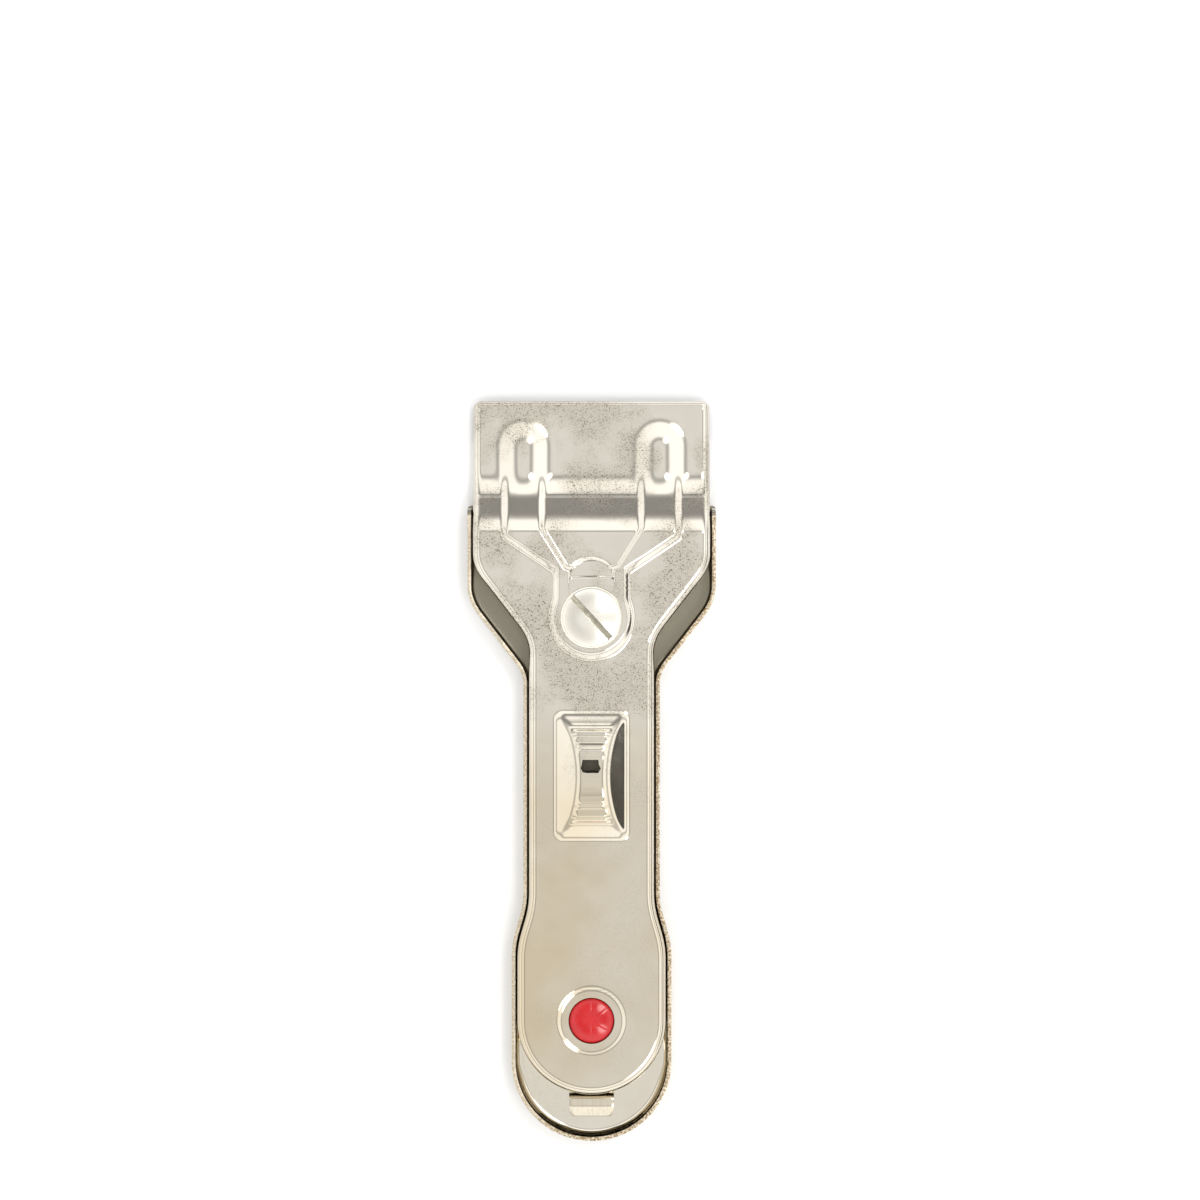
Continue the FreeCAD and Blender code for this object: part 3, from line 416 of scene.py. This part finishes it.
# The brown share grows towards the right of the rim and at the tail.
denser_right = ranged(sheared, rim_parts["X"], -0.02, 0.01, 0.35, 0.95)
denser_tail = ranged(sheared, rim_parts["Y"], -0.061, -0.068)
brown_grain_share = worked(sheared, "MULTIPLY", grains, worked(sheared, "MAXIMUM", denser_right, denser_tail))
sheared.node_tree.links.new(toned(sheared, brown_grain_share, "#DCD2BE", "#8A7048"), surface["Base Color"])
for material in (pan_nickel_painted_shade, sheared, nickel):
    lower_tray.data.materials.append(material)
for face in lower_tray.data.polygons:
    behind = min(0.0, face.center.y - tray_tail_middle / 1000)
    outward = face.normal.x * face.center.x + face.normal.y * behind
    if face.center.z > (tray_rim - 0.1) * 0.001:
        face.material_index = 1
    elif face.normal.z < -0.2 or (face.normal.z < 0.2 and outward > 0):
        face.material_index = 2
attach(lower_tray, "tray")
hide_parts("lower_tray")

# Blade pins, pillars, leaf rivets and slot collar: turned from bright steel bar. All but the collar are
# riveted into the tray floor. Turning leaves rings 0.15 mm apart that draw the highlight out across the piece.
turned_steel, surface, place = new_material("bright_steel_turned")
ring_spacing = 0.00015
rings = add_node(turned_steel, "ShaderNodeTexWave",
                 {"bands_direction": "Z", "Scale": 1 / ring_spacing / 20, "Distortion": 0.6},
                 {"Vector": place})
steel_tone = toned(turned_steel, noise(turned_steel, place, 0.002, 2.0), "#C4C2BD", "#A9A7A2")
turned_steel.node_tree.links.new(steel_tone, surface["Base Color"])
ring_roughness = ranged(turned_steel, rings.outputs["Fac"], 0.0, 1.0, 0.2, 0.34)
turned_steel.node_tree.links.new(ring_roughness, surface["Roughness"])
for node in ("blade_pins", "clamp_pillar", "guide_pillar", "lock_rivets", "slot_collar"):
    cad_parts[node].data.materials.clear()
    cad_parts[node].data.materials.append(turned_steel)

# Guide rivet and washer: steel painted near-black, painted shade standing for the dark seen through the hole
# of the grip.
# The rivet goes through a slot of the cover into its pillar, and the two hold the cover down inside the hollow
# of the thumb grip.
shade_black_steel, surface, place = new_material("steel_painted_black_as_shade")
surface["Roughness"].default_value = 0.45
# The near-black tones are painted shade for the hole of the grip.
painted_shade_tone = toned(shade_black_steel, noise(shade_black_steel, place, 0.0015, 3.0), "#2E2C29", "#4B4740")
shade_black_steel.node_tree.links.new(painted_shade_tone, surface["Base Color"])
for node in ("guide_rivet", "guide_washer"):
    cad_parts[node].data.materials.clear()
    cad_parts[node].data.materials.append(shade_black_steel)

# Blade: a strip of hardened blade steel, ground along both long edges, lying on the tray floor over its pins.
# Grinding leaves straight scratches across the edge, 0.12 mm apart here so that they show.
ground_steel, surface, place = new_material("blade_steel_ground")
stretch = add_node(ground_steel, "ShaderNodeMapping", {"Scale": (1.0, 0.02, 1.0)}, {"Vector": place})
scratches = noise(ground_steel, stretch.outputs["Vector"], 0.00012, 2.0)
patterned(ground_steel, surface, scratches, ("#BFC1C2", "#9A9C9E"), (0.16, 0.36))
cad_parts["blade"].data.materials.clear()
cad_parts["blade"].data.materials.append(ground_steel)

# Blade clamp: a cranked plate pressed from 0.8 mm steel with the same bright nickel plate, held down by the
# screw. Its high end lies flat under the slot of the cover, where a shallow bend line crosses it.
clamp_sheet = 0.8
clamp_low = 1.75
clamp_high = 6.5
crank_front = 47.0
crank_length = 7.0
bend_place = 36.6
clamp_places = [61.4 - 0.9 * step for step in range(16)]
clamp_places += [46.8, 46.2, 45.5, 44, 42.5, 41, 40.4, 40, 39.6, 39, 38.2]
clamp_places += [37.4, 37.0, 36.85, 36.7, 36.55, 36.4, 36.25, 36.0, 35, 33, 31, 29, 27, 25, 23, 21.5]


def clamp_height(across, along):
    """Height of the top of the clamp: low over the blade, up the crank, and the bend line in its high end."""
    crank = min(max((crank_front - along) / crank_length, 0.0), 1.0)
    line = max(0.0, 1 - abs(along - bend_place) / 0.3)
    return clamp_low + (clamp_high - clamp_low) * crank - 0.12 * line


clamp_edge = [(8.5 + 10.5 * eased((along - 44) / 2.4), along) for along in clamp_places]
blade_clamp = pressed_blank("blade_clamp_cranked", clamp_edge, 16, clamp_height)
thicken(blade_clamp, clamp_sheet, 0.1)
clamp_holes = [(across, along, 1.6) for across, along in pin_places] + [(0, pillar_places[0], 2.2)]
punch_through(blade_clamp, [upright_cutter(round_outline(*hole), 0, 9) for hole in clamp_holes])
finish_in_metres(blade_clamp, 40)
blade_clamp.data.materials.append(nickel)
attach(blade_clamp, "clamp")
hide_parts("blade_clamp")

# Lock leaf: a strip of 0.5 mm spring steel riveted to the tray floor. It rises under the button, steps up at
# the tail and ends in a rounded tongue with a shallow bend across its middle.
leaf_sheet = 0.5
leaf_half = 4.25
leaf_corner = 1.3
leaf_corner_place = -64.3
leaf_path = [(-28.6, 1.2), (-33, 1.2), (-37.2, 1.2), (-38.1, 1.22), (-39, 1.28), (-45, 1.62), (-52, 2.04),
             (-58, 2.4), (-60.5, 2.56), (-61.0, 2.62), (-61.3, 2.8), (-61.42, 3.1), (-61.48, 3.6),
             (-61.6, 3.98), (-61.85, 4.2), (-62.2, 4.29), (-62.7, 4.3), (-63.3, 4.29), (-63.6, 4.26),
             (-63.8, 4.2), (-64.2, 4.06), (-64.5, 3.95), (-64.8, 3.84), (-65.1, 3.73), (-65.35, 3.64),
             (-65.5, 3.58)]
leaf_edge = []
for along, _ in leaf_path:
    into_corner = max(0.0, leaf_corner_place - along)
    corner_reach = math.sqrt(max(0.0, leaf_corner ** 2 - into_corner ** 2))
    leaf_edge.append((leaf_half - leaf_corner + corner_reach, along))
leaf_heights = dict(leaf_path)
lock_leaf = pressed_blank("lock_leaf_strip", leaf_edge, 12, lambda across, along: leaf_heights[along])
thicken(lock_leaf, leaf_sheet, 0.08)
punch_through(lock_leaf, [upright_cutter(round_outline(0, along, 1.12), 0, 2) for along in leaf_rivet_places])
finish_in_metres(lock_leaf, 40)
spring_steel, surface, place = new_material("spring_steel_rolled_and_plated")
rolled = add_node(spring_steel, "ShaderNodeMapping", {"Scale": (1.0, 0.05, 1.0)}, {"Vector": place})
streaks = noise(spring_steel, rolled.outputs["Vector"], 0.0003, 2.0)
patterned(spring_steel, surface, streaks, ("#DAD2C2", "#C4BAA4"), (0.1, 0.26))
lock_leaf.data.materials.append(spring_steel)
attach(lock_leaf, "tray")
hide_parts("lock_spring")
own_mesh(lock_leaf)

# Sliding cover: deep-drawn from 0.7 mm sheet and nickel plated. A thin lip guards the blade, and two ribs
# climb the step from it and meet at the screw. The skirt runs inside the tray wall, and a dish at the tail
# holds the button.
cover_sheet = 0.7
cover_top = 8.2
cover_lip = 3.4
cover_skirt = 0.9
cover_front = 70.0
cover_half_width = 22.4
cover_neck = 11.8
cover_tail_radius = 14.0
cover_rim = 1.6
lip_rim = 0.9
head_rear = 60
rib_rise = 1.4
rib_middle = 12.9
finger_tip = 61.4
screw_place = 29.0
slot_half = 4.25
slot_front = 35.5
boss_radius = 6.75
button_place = -47.1
dish_radius = 5.5
dish_depth = 0.3
cover_inside = outline_width([(80, cover_half_width), (38.5, cover_half_width), (24.8, cover_neck),
                              (-25.5, cover_neck), (-33, cover_tail_radius), (-60, cover_tail_radius)], 2.6)


def even_ramp(amount):
    """0 below 0 and 1 above 1, with an even slope between and a quarter of the run rounded at each end."""
    amount = min(max(amount, 0.0), 1.0)
    if amount < 0.25:
        return amount ** 2 * 8 / 3
    if amount > 0.75:
        return 1 - (1 - amount) ** 2 * 8 / 3
    return (amount - 0.125) * 4 / 3


step_slopes = [(57.2, 0.0), (55.0, 0.27), (52.8, 0.45), (51.5, 0.56), (48.5, 0.56), (47.3, 0.45), (45.5, 0.3),
               (44.8, 0.0)]


def step_height(along):
    """Height of the step, added up from its slopes: a soft bend at the foot and a tighter one at the top."""
    height = 0.0
    for (front, front_slope), (rear, rear_slope) in zip(step_slopes, step_slopes[1:]):
        run = min(max(front - along, 0.0), front - rear)
        slope = front_slope + (rear_slope - front_slope) * run / (front - rear)
        height += run * (front_slope + slope) / 2
    return height


full_step = step_height(0)


def distance_outside(across, along, corners):
    """How far a point lies outside a convex outline, with its corners counter-clockwise, or 0 inside."""
    furthest = 0.0
    nearest = None
    for (x0, y0), (x1, y1) in zip(corners, corners[1:] + corners[:1]):
        length = math.hypot(x1 - x0, y1 - y0)
        outside = ((across - x0) * (y1 - y0) - (along - y0) * (x1 - x0)) / length
        share = min(max(((across - x0) * (x1 - x0) + (along - y0) * (y1 - y0)) / length ** 2, 0), 1)
        reach = math.hypot(across - x0 - share * (x1 - x0), along - y0 - share * (y1 - y0))
        furthest = max(furthest, outside)
        nearest = reach if nearest is None else min(nearest, reach)
    return nearest if furthest > 0 else 0.0


arm_crest = [(10.4, 46.5), (5.0, 37.8), (6.0, 38.2), (15.6, 44.7), (15.6, 46.5)]
arm_straight = [(4.4, 37.8), (4.4, 29.0), (6.1, 29.0), (6.1, 37.8)]


def joined(first, second):
    """The higher of two shares of a rise, blended where they meet and never over 1."""
    near = max(0.35 - abs(first - second), 0.0) / 0.35
    return min(max(first, second) + near * near * 0.35 / 4, 1.0)


def cover_height(across, along):
    """Height of the top of the cover: lip, step and handle, with the ribs, the boss and the dish on them."""
    side = abs(across)
    height = cover_lip + (cover_top - cover_lip) * step_height(along) / full_step
    up_step = eased((57.0 - along) / 5.0)
    from_middle = math.hypot(side - rib_middle, max(0.0, along - finger_tip))
    soft = 1 - eased((from_middle - 0.4) / 6.0)
    tight = 1 - even_ramp((from_middle - 2.7) / 1.9)
    rise = (soft + (tight - soft) * up_step) * eased((along - 43.4) / 3.0)
    if 25 < along < 52:
        outer_run = 1.0 + 0.8 * eased((side - 6.5) / 1.0 - (along - 38.0) / 0.9)
        arm = 1 - even_ramp(distance_outside(side, along, arm_crest) / outer_run)
        straight = 1 - even_ramp(distance_outside(side, along, arm_straight) / 1.4)
        rise = joined(joined(rise, arm * eased((49.0 - along) / 3.0)), straight)
    boss = 1 - even_ramp((math.hypot(across, along - screw_place) - boss_radius) / 1.6)
    rise = joined(rise, boss)
    slot_reach = math.hypot(across, max(0.0, along - slot_front, screw_place - along)) - slot_half
    rolled = (1 - eased(slot_reach / 0.9)) * eased((along - 37.5) / 1.5)
    dish = 1 - eased((math.hypot(across, along - button_place) - dish_radius) / 1.3)
    return height + (rib_rise - 0.3 * up_step) * rise - 0.3 * rolled - dish_depth * dish


corner_round = 1.5
cover_edge = []
for degrees in (90, 58, 36, 17, 0):
    out_x = math.cos(math.radians(degrees))
    out_y = math.sin(math.radians(degrees))
    cover_edge.append((cover_half_width - corner_round + corner_round * out_x,
                       cover_front - corner_round + corner_round * out_y, out_x, out_y))
cover_places = [68.2 - 0.35 * step for step in range(98)]
cover_places += [33.8 - 0.45 * step for step in range(32)]
cover_places += [19.0 - 1.2 * step for step in range(34)]
cover_places += [-22.0 - 0.5 * step for step in range(50)]
cover_edge += side_points(cover_inside, cover_places, button_place, cover_tail_radius, 60)
cover_blank_edge = []
cover_turn = {}
for across, along, out_x, out_y in cover_edge:
    radius = lip_rim + (cover_rim - lip_rim) * eased(1 - max(0.0, out_y) * 1.1)
    if along < head_rear:
        radius = cover_rim
    inner = (across - radius * out_x, along - radius * out_y)
    cover_blank_edge.append(inner)
    cover_turn[round(inner[1], 4)] = (out_x, out_y, radius)
sliding_cover = pressed_blank("sliding_cover_shell", cover_blank_edge, 128, cover_height)
cover_front_row = cover_blank_edge[0][1]
cover_last_row = cover_blank_edge[-1]


def cover_rim_step(turn, fall):
    """A place on the turned-down rim: turn is the share of the rim radius, fall the share of the skirt."""
    def move(place):
        across, along, height = place
        out_x, out_y, radius = min(cover_turn.items(), key=lambda entry: abs(entry[0] - along))[1]
        if abs(along - cover_last_row[1]) < 0.001 and abs(across) < cover_last_row[0] - 0.001:
            reach = math.hypot(across, along - button_place)
            out_x, out_y = across / reach, (along - button_place) / reach
        elif abs(along - cover_front_row) < 0.001 and abs(across) < cover_blank_edge[0][0] - 0.001:
            out_x, out_y = 0.0, 1.0
        else:
            out_x = math.copysign(out_x, across)
        aside = radius * math.sin(turn * math.pi / 2)
        drop = radius * (1 - math.cos(turn * math.pi / 2))
        end = cover_skirt
        if along > head_rear:
            end += (height - radius - 0.2 - cover_skirt) * eased((out_y - 0.1) / 0.8)
        drop += fall * (height - radius - end)
        return across + aside * out_x, along + aside * out_y, height - drop
    return move


draw_edge(sliding_cover, free_edge(sliding_cover),
          [cover_rim_step(turn, 0) for turn in (0.14, 0.28, 0.42, 0.56, 0.7, 0.85, 1)]
          + [cover_rim_step(1, fall) for fall in (0.33, 0.67, 1)])
thicken(sliding_cover, cover_sheet, 0.1)


def slot_outline(half, low, high, steps=24):
    """A round-ended slot along the tool, seen from above."""
    front = [(half * math.cos(math.pi * step / steps), high + half * math.sin(math.pi * step / steps))
             for step in range(steps + 1)]
    rear = [(-across, low - (along - high)) for across, along in front]
    return front + rear


def box_outline(left, right, low, high):
    """A rectangle seen from above."""
    return [(left, low), (right, low), (right, high), (left, high)]


punch_through(sliding_cover, [
    upright_cutter(slot_outline(slot_half, screw_place, slot_front), 5, 12),
    upright_cutter(slot_outline(2.2, pillar_places[1], 2.21), 5, 12),
    upright_cutter(box_outline(-3.05, 3.05, -11.69, -10.79), 5, 12),
    upright_cutter(box_outline(-3.05, 3.05, 9.11, 10.01), 5, 12),
    upright_cutter(round_outline(0, button_place, 4.35, 72), 5, 12),
    upright_cutter(box_outline(-4.65, 4.65, -66, -56), -1, 2.98),
])
finish_in_metres(sliding_cover, 40)
sliding_cover.data.materials.append(nickel)
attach(sliding_cover, "cover")
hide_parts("sliding_cover")

# Thumb grip: a hump pressed from thin sheet and nickel plated, waisted for the thumb, with three steps up each
# end and a punched hole near its summit. The real piece is held by two tabs bent over under the cover; they
# are out of sight and left off here.
grip_place = -0.84
grip_half_length = 12.5
grip_half_width = 7.3
grip_rise = 3.95
grip_sag = 3.2
grip_summit = 3.9
grip_step = 2.6
grip_groove = 0.26
grip_corner = 2.0
grip_sheet = 0.5


def grip_arch(distance):
    """Height of the smooth arch over the cover at a distance from the summit."""
    arch = (grip_half_length ** 2 + grip_sag ** 2) / (2 * grip_sag)
    return grip_rise - arch + math.sqrt(arch ** 2 - distance ** 2)


def grip_crest(along):
    """Height along the middle of the grip: three steps to each side of the summit, grooved at the foot."""
    distance = abs(along)
    if distance <= grip_summit:
        return grip_arch(distance)
    count = math.floor((distance - grip_summit) / grip_step)
    into = (distance - grip_summit) / grip_step - count
    distance = grip_summit + grip_step * (count + even_ramp((into - 0.52) / 0.48))
    groove = grip_groove * max(0.0, 1 - abs(into - 0.5) / 0.12)
    return grip_arch(min(distance, grip_half_length)) - groove


def lower_of(first, second, rounding):
    """The lower of two heights, rounded where they meet."""
    near = max(rounding - abs(first - second), 0.0) / rounding
    return min(first, second) - near * near * rounding / 4


def grip_height(across, along):
    """The arch cut off by two even side slopes and two end slopes, and blended into a thin skirt."""
    local = along - grip_place
    side = 0.95 * (grip_half_width - 0.45 - abs(across))
    end = 0.85 * (grip_half_length - 0.45 - abs(local))
    arch = grip_arch(min(abs(local), grip_half_length))
    ridges = (grip_crest(local) - arch) * eased((side - arch - 0.1) / 1.3) * eased((end - arch + 0.2) / 0.5)
    height = lower_of(arch, lower_of(side, end, 1.2), 1.05) + ridges
    return cover_top + 0.02 - lower_of(-0.12, -height, 0.7)


grip_rows = [grip_half_length - 0.16 * step for step in range(157)]
grip_edge = []
for row in grip_rows:
    into_corner = max(0.0, abs(row) - grip_half_length + grip_corner)
    corner_reach = math.sqrt(max(0.0, grip_corner ** 2 - into_corner ** 2))
    grip_edge.append((grip_half_width - grip_corner + corner_reach, grip_place + row))
thumb_grip = pressed_blank("thumb_grip_hump", grip_edge, 92, grip_height)
finish_with(thumb_grip, "SOLIDIFY", thickness=grip_sheet, offset=-1, use_even_offset=False)
face_outwards(thumb_grip)
grip_hole = [(-1.6, 1.2), (-1.75, 0.2), (-1.95, -0.35), (-1.55, -1.15), (-0.6, -1.3), (0.5, -1.25),
             (1.35, -1.3), (1.85, -0.45), (1.5, 0.3), (1.4, 1.2)]
grip_hole = [(across - 0.1, along + 1.05) for across, along in grip_hole]
punch_through(thumb_grip, [upright_cutter(grip_hole, 9.9, 14)])
finish_in_metres(thumb_grip, 50)
thumb_grip.data.materials.append(nickel)
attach(thumb_grip, "cover")
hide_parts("thumb_grip")

# Clamp screw: turned from steel bar, with a low domed head, a blind slot made by coining, and bright nickel
# plate. It goes through the slot of the cover into the clamp pillar and holds the clamp down.


def turned_piece(name, along, profile, steps):
    """A round piece on an upright axis, drawn up ring by ring through (radius, height)."""
    bpy.ops.object.select_all(action="DESELECT")
    radius, height = profile[0]
    bpy.ops.mesh.primitive_circle_add(vertices=steps, radius=radius, fill_type="NGON",
                                      location=(0, along, height))
    piece = bpy.context.object
    piece.name = name
    bpy.ops.object.transform_apply(location=True, rotation=True, scale=True)
    bpy.ops.object.mode_set(mode="EDIT")
    bpy.ops.mesh.select_all(action="SELECT")
    for next_radius, next_height in profile[1:]:
        bpy.ops.mesh.extrude_region_move(TRANSFORM_OT_translate={"value": (0, 0, next_height - height)})
        factor = next_radius / radius
        bpy.ops.transform.resize(value=(factor, factor, 1), center_override=(0, along, next_height))
        radius, height = next_radius, next_height
    bpy.ops.mesh.select_all(action="SELECT")
    bpy.ops.mesh.normals_make_consistent(inside=False)
    bpy.ops.object.mode_set(mode="OBJECT")
    return piece


def domed(radius, rim, rise, edge, steps):
    """Profile of a low dome with a rounded edge, from the rim to the middle."""
    sphere = (radius ** 2 + rise ** 2) / (2 * rise)
    points = []
    for angle in (90, 70, 50, 30):
        turn = math.radians(angle)
        points.append((radius - edge + edge * math.sin(turn), rim - edge + edge * math.cos(turn)))
    for step in range(steps):
        reach = (radius - edge) * (1 - step / steps)
        points.append((reach, rim + rise - sphere + math.sqrt(sphere ** 2 - reach ** 2)))
    return points + [(0.05, rim + rise)]


screw_seat = 9.8
head_radius = 5.9
slot_half_length = 5.3
slot_half_width = 0.53
screw_profile = [(2.0, 2.0), (2.0, screw_seat), (head_radius - 0.25, screw_seat),
                 (head_radius, screw_seat + 0.25)]
screw_profile += domed(head_radius, screw_seat + 1.1, 0.9, 0.45, 14)
clamp_screw = turned_piece("clamp_screw_turned", screw_place, screw_profile, 128)
slot_angle = math.radians(133)
slot_x = math.cos(slot_angle)
slot_y = math.sin(slot_angle)
slot_corners = []
slot_shape = box_outline(-slot_half_length, slot_half_length, -slot_half_width, slot_half_width)
for along_slot, across_slot in slot_shape:
    slot_corners.append((along_slot * slot_x - across_slot * slot_y,
                         screw_place + along_slot * slot_y + across_slot * slot_x))
punch_through(clamp_screw, [upright_cutter(slot_corners, screw_seat + 1.05, 14)])
finish_with(clamp_screw, "BEVEL", width=0.06, segments=2, limit_method="ANGLE", angle_limit=math.radians(55))
finish_in_metres(clamp_screw, 35)
screw_nickel, surface, place = new_material("nickel_plate_tumbled_bright")
scuffs = noise(screw_nickel, place, 0.0025, 4.0)
patterned(screw_nickel, surface, scuffs, ("#F4F1E8", "#DCD5C5"), (0.18, 0.32))
clamp_screw.data.materials.append(screw_nickel)
# The floor of the screw slot is coloured a mottled darker grey than the head.
slot_floor_grey, surface, place = new_material("slot_floor_mottled_darker_grey")
surface["Roughness"].default_value = 0.4
slot_tone = toned(slot_floor_grey, noise(slot_floor_grey, place, 0.0007, 3.0), "#6F6A5C", "#C9C2B0")
slot_floor_grey.node_tree.links.new(slot_tone, surface["Base Color"])
clamp_screw.data.materials.append(slot_floor_grey)
for face in clamp_screw.data.polygons:
    away = face.center.y - screw_place / 1000
    along_slot = face.center.x * slot_x + away * slot_y
    across_slot = away * slot_x - face.center.x * slot_y
    in_slot = abs(across_slot) < 0.00054 and abs(along_slot) < 0.0053
    if in_slot and 0.0108 < face.center.z < 0.0115:
        face.material_index = 1
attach(clamp_screw, "screw")
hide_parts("clamp_screw")

# Lock button: moulded in glossy red ABS, a low dome in the dish of the cover with faint sink lines across it.
# A flange holds it under the sheet, and a stem comes down on the lock leaf when it is pressed.
button_profile = [(2.2, 2.9), (2.2, 5.8), (5.5, 5.8), (5.5, 6.8), (4.2, 6.8)]
button_profile += domed(4.25, 7.75, 0.75, 0.35, 14)
lock_button = turned_piece("lock_button_moulding", button_place, button_profile, 112)
finish_in_metres(lock_button, 40)
red, surface, place = new_material("red_ABS_gloss_moulded", 0.0)
surface["IOR"].default_value = 1.54
flow = noise(red, place, 0.003, 2.0)
patterned(red, surface, flow, ("#B40B12", "#CB161B"), (0.08, 0.2))
from_middle = add_node(red, "ShaderNodeMapping", {"Location": (0, -button_place / 1000, 0)},
                       {"Vector": place})
sink = None
for degrees in (0, 52, 118):
    turned = add_node(red, "ShaderNodeVectorRotate", {"Angle": math.radians(degrees)},
                      {"Vector": from_middle.outputs["Vector"]})
    aside = add_node(red, "ShaderNodeSeparateXYZ", links={"Vector": turned.outputs["Vector"]}).outputs["X"]
    line = ranged(red, worked(red, "ABSOLUTE", aside), 0.0, 0.0003)
    sink = line if sink is None else worked(red, "MINIMUM", sink, line)
relief = add_node(red, "ShaderNodeMath", {"operation": "MULTIPLY_ADD", 1: 0.6}, {0: flow, 2: sink})
ripple = add_node(red, "ShaderNodeBump", {"Strength": 0.6, "Distance": 0.00005},
                  {"Height": relief.outputs["Value"]})
red.node_tree.links.new(ripple.outputs["Normal"], surface["Normal"])
lock_button.data.materials.append(red)
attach(lock_button, "button")
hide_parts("lock_button")

# Floor: a plain white sweep that the tool lies on.
bpy.ops.object.select_all(action="DESELECT")
bpy.ops.mesh.primitive_plane_add(size=6, location=(0, 0, -0.00005))
floor = bpy.context.object
floor.name = "floor"
paper, surface, _ = new_material("matt_white_paper", 0.0)
surface["Base Color"].default_value = linear("#F4F4F4")
surface["Roughness"].default_value = 0.9
floor.data.materials.append(paper)

# Light: a white tent, plain above with faint clouding, a greyer ring round that and a bright wall with a
# shaded band half way up. The wall is grey part way down in front and dark low down at the right, and two
# lamps stand high at the right. Seen directly it is white.
world = bpy.data.worlds.new("light_tent")
bpy.context.scene.world = world
world.use_nodes = True
sky = world.node_tree.nodes["Background"]
direction = add_node(world, "ShaderNodeTexCoord").outputs["Generated"]
height = add_node(world, "ShaderNodeSeparateXYZ", links={"Vector": direction}).outputs["Z"]
level = add_node(world, "ShaderNodeMapping", {"Scale": (1, 1, 0)}, {"Vector": direction})
level = add_node(world, "ShaderNodeVectorMath", {"operation": "NORMALIZE"}, {0: level.outputs["Vector"]})
heading = add_node(world, "ShaderNodeSeparateXYZ", links={"Vector": level.outputs["Vector"]}).outputs


def between(output, low, high, low_value, high_value):
    """A value that goes smoothly from one level to another while an output goes from low to high."""
    settings = {"interpolation_type": "SMOOTHSTEP", "From Min": low, "From Max": high, "To Min": low_value,
                "To Max": high_value}
    return add_node(world, "ShaderNodeMapRange", settings, {"Value": output}).outputs["Result"]


def blend(share, first, second):
    """One brightness where the share is 0 and another where it is 1, each an output or a number."""
    mix = add_node(world, "ShaderNodeMix", {0: 0.0})
    world.node_tree.links.new(share, mix.inputs[0])
    for socket, value in ((2, first), (3, second)):
        if isinstance(value, float):
            mix.inputs[socket].default_value = value
        else:
            world.node_tree.links.new(value, mix.inputs[socket])
    return mix.outputs[0]


wall = between(heading["X"], -1.0, 0.6, 1.46, 1.6)
front = worked(world, "MULTIPLY", between(heading["Y"], 0.55, 0.85, 0.0, 1.0),
               between(height, 0.26, 0.42, 0.0, 1.0))
low_wall = blend(front, wall, 0.6)
right = worked(world, "MULTIPLY", between(heading["X"], 0.82, 0.95, 0.0, 1.0),
               between(height, 0.16, 0.26, 1.0, 0.0))
low_wall = blend(right, low_wall, 0.12)
sides = blend(between(height, 0.48, 0.66, 0.0, 1.0), low_wall, wall)
shade = between(height, 0.41, 0.50, 1.0, 0.55)
shade = blend(between(height, 0.58, 0.68, 0.0, 1.0), shade, 1.0)
sides = worked(world, "MULTIPLY", sides, shade)
ring = blend(between(height, 0.84, 0.92, 0.0, 1.0), sides, 0.62)
clouds = add_node(world, "ShaderNodeTexNoise", {"Scale": 45.0, "Detail": 3.0}, {"Vector": direction})
above = between(clouds.outputs["Fac"], 0.3, 0.7, 0.9, 1.14)
tent = blend(between(height, 0.93, 0.975, 0.0, 1.0), ring, above)
for lamp in ((0.31, 0.31, 0.9), (0.31, -0.31, 0.9)):
    towards = add_node(world, "ShaderNodeVectorMath", {"operation": "DOT_PRODUCT", 1: lamp}, {0: direction})
    tent = worked(world, "ADD", tent, between(towards.outputs["Value"], 0.989, 0.997, 0.0, 6.5))
seen = add_node(world, "ShaderNodeLightPath")
shown = add_node(world, "ShaderNodeMix")
world.node_tree.links.new(seen.outputs["Is Camera Ray"], shown.inputs[0])
world.node_tree.links.new(tent, shown.inputs[2])
shown.inputs[3].default_value = 1.0
world.node_tree.links.new(shown.outputs[0], sky.inputs["Strength"])
sky.inputs["Color"].default_value = (1, 1, 1, 1)

# Camera: straight above, 1.1 m over the top of the cover, as wide as the photograph.
sensor_width = 36
view_distance = 1.1
view_width = 0.2264
camera = bpy.data.objects.new("camera", bpy.data.cameras.new("camera"))
bpy.context.scene.collection.objects.link(camera)
camera.location = (0.0016, 0.0323, 1.108)
camera.data.sensor_width = sensor_width
camera.data.lens = sensor_width * view_distance / view_width
bpy.context.scene.camera = camera
bpy.context.scene.view_settings.view_transform = "Standard"
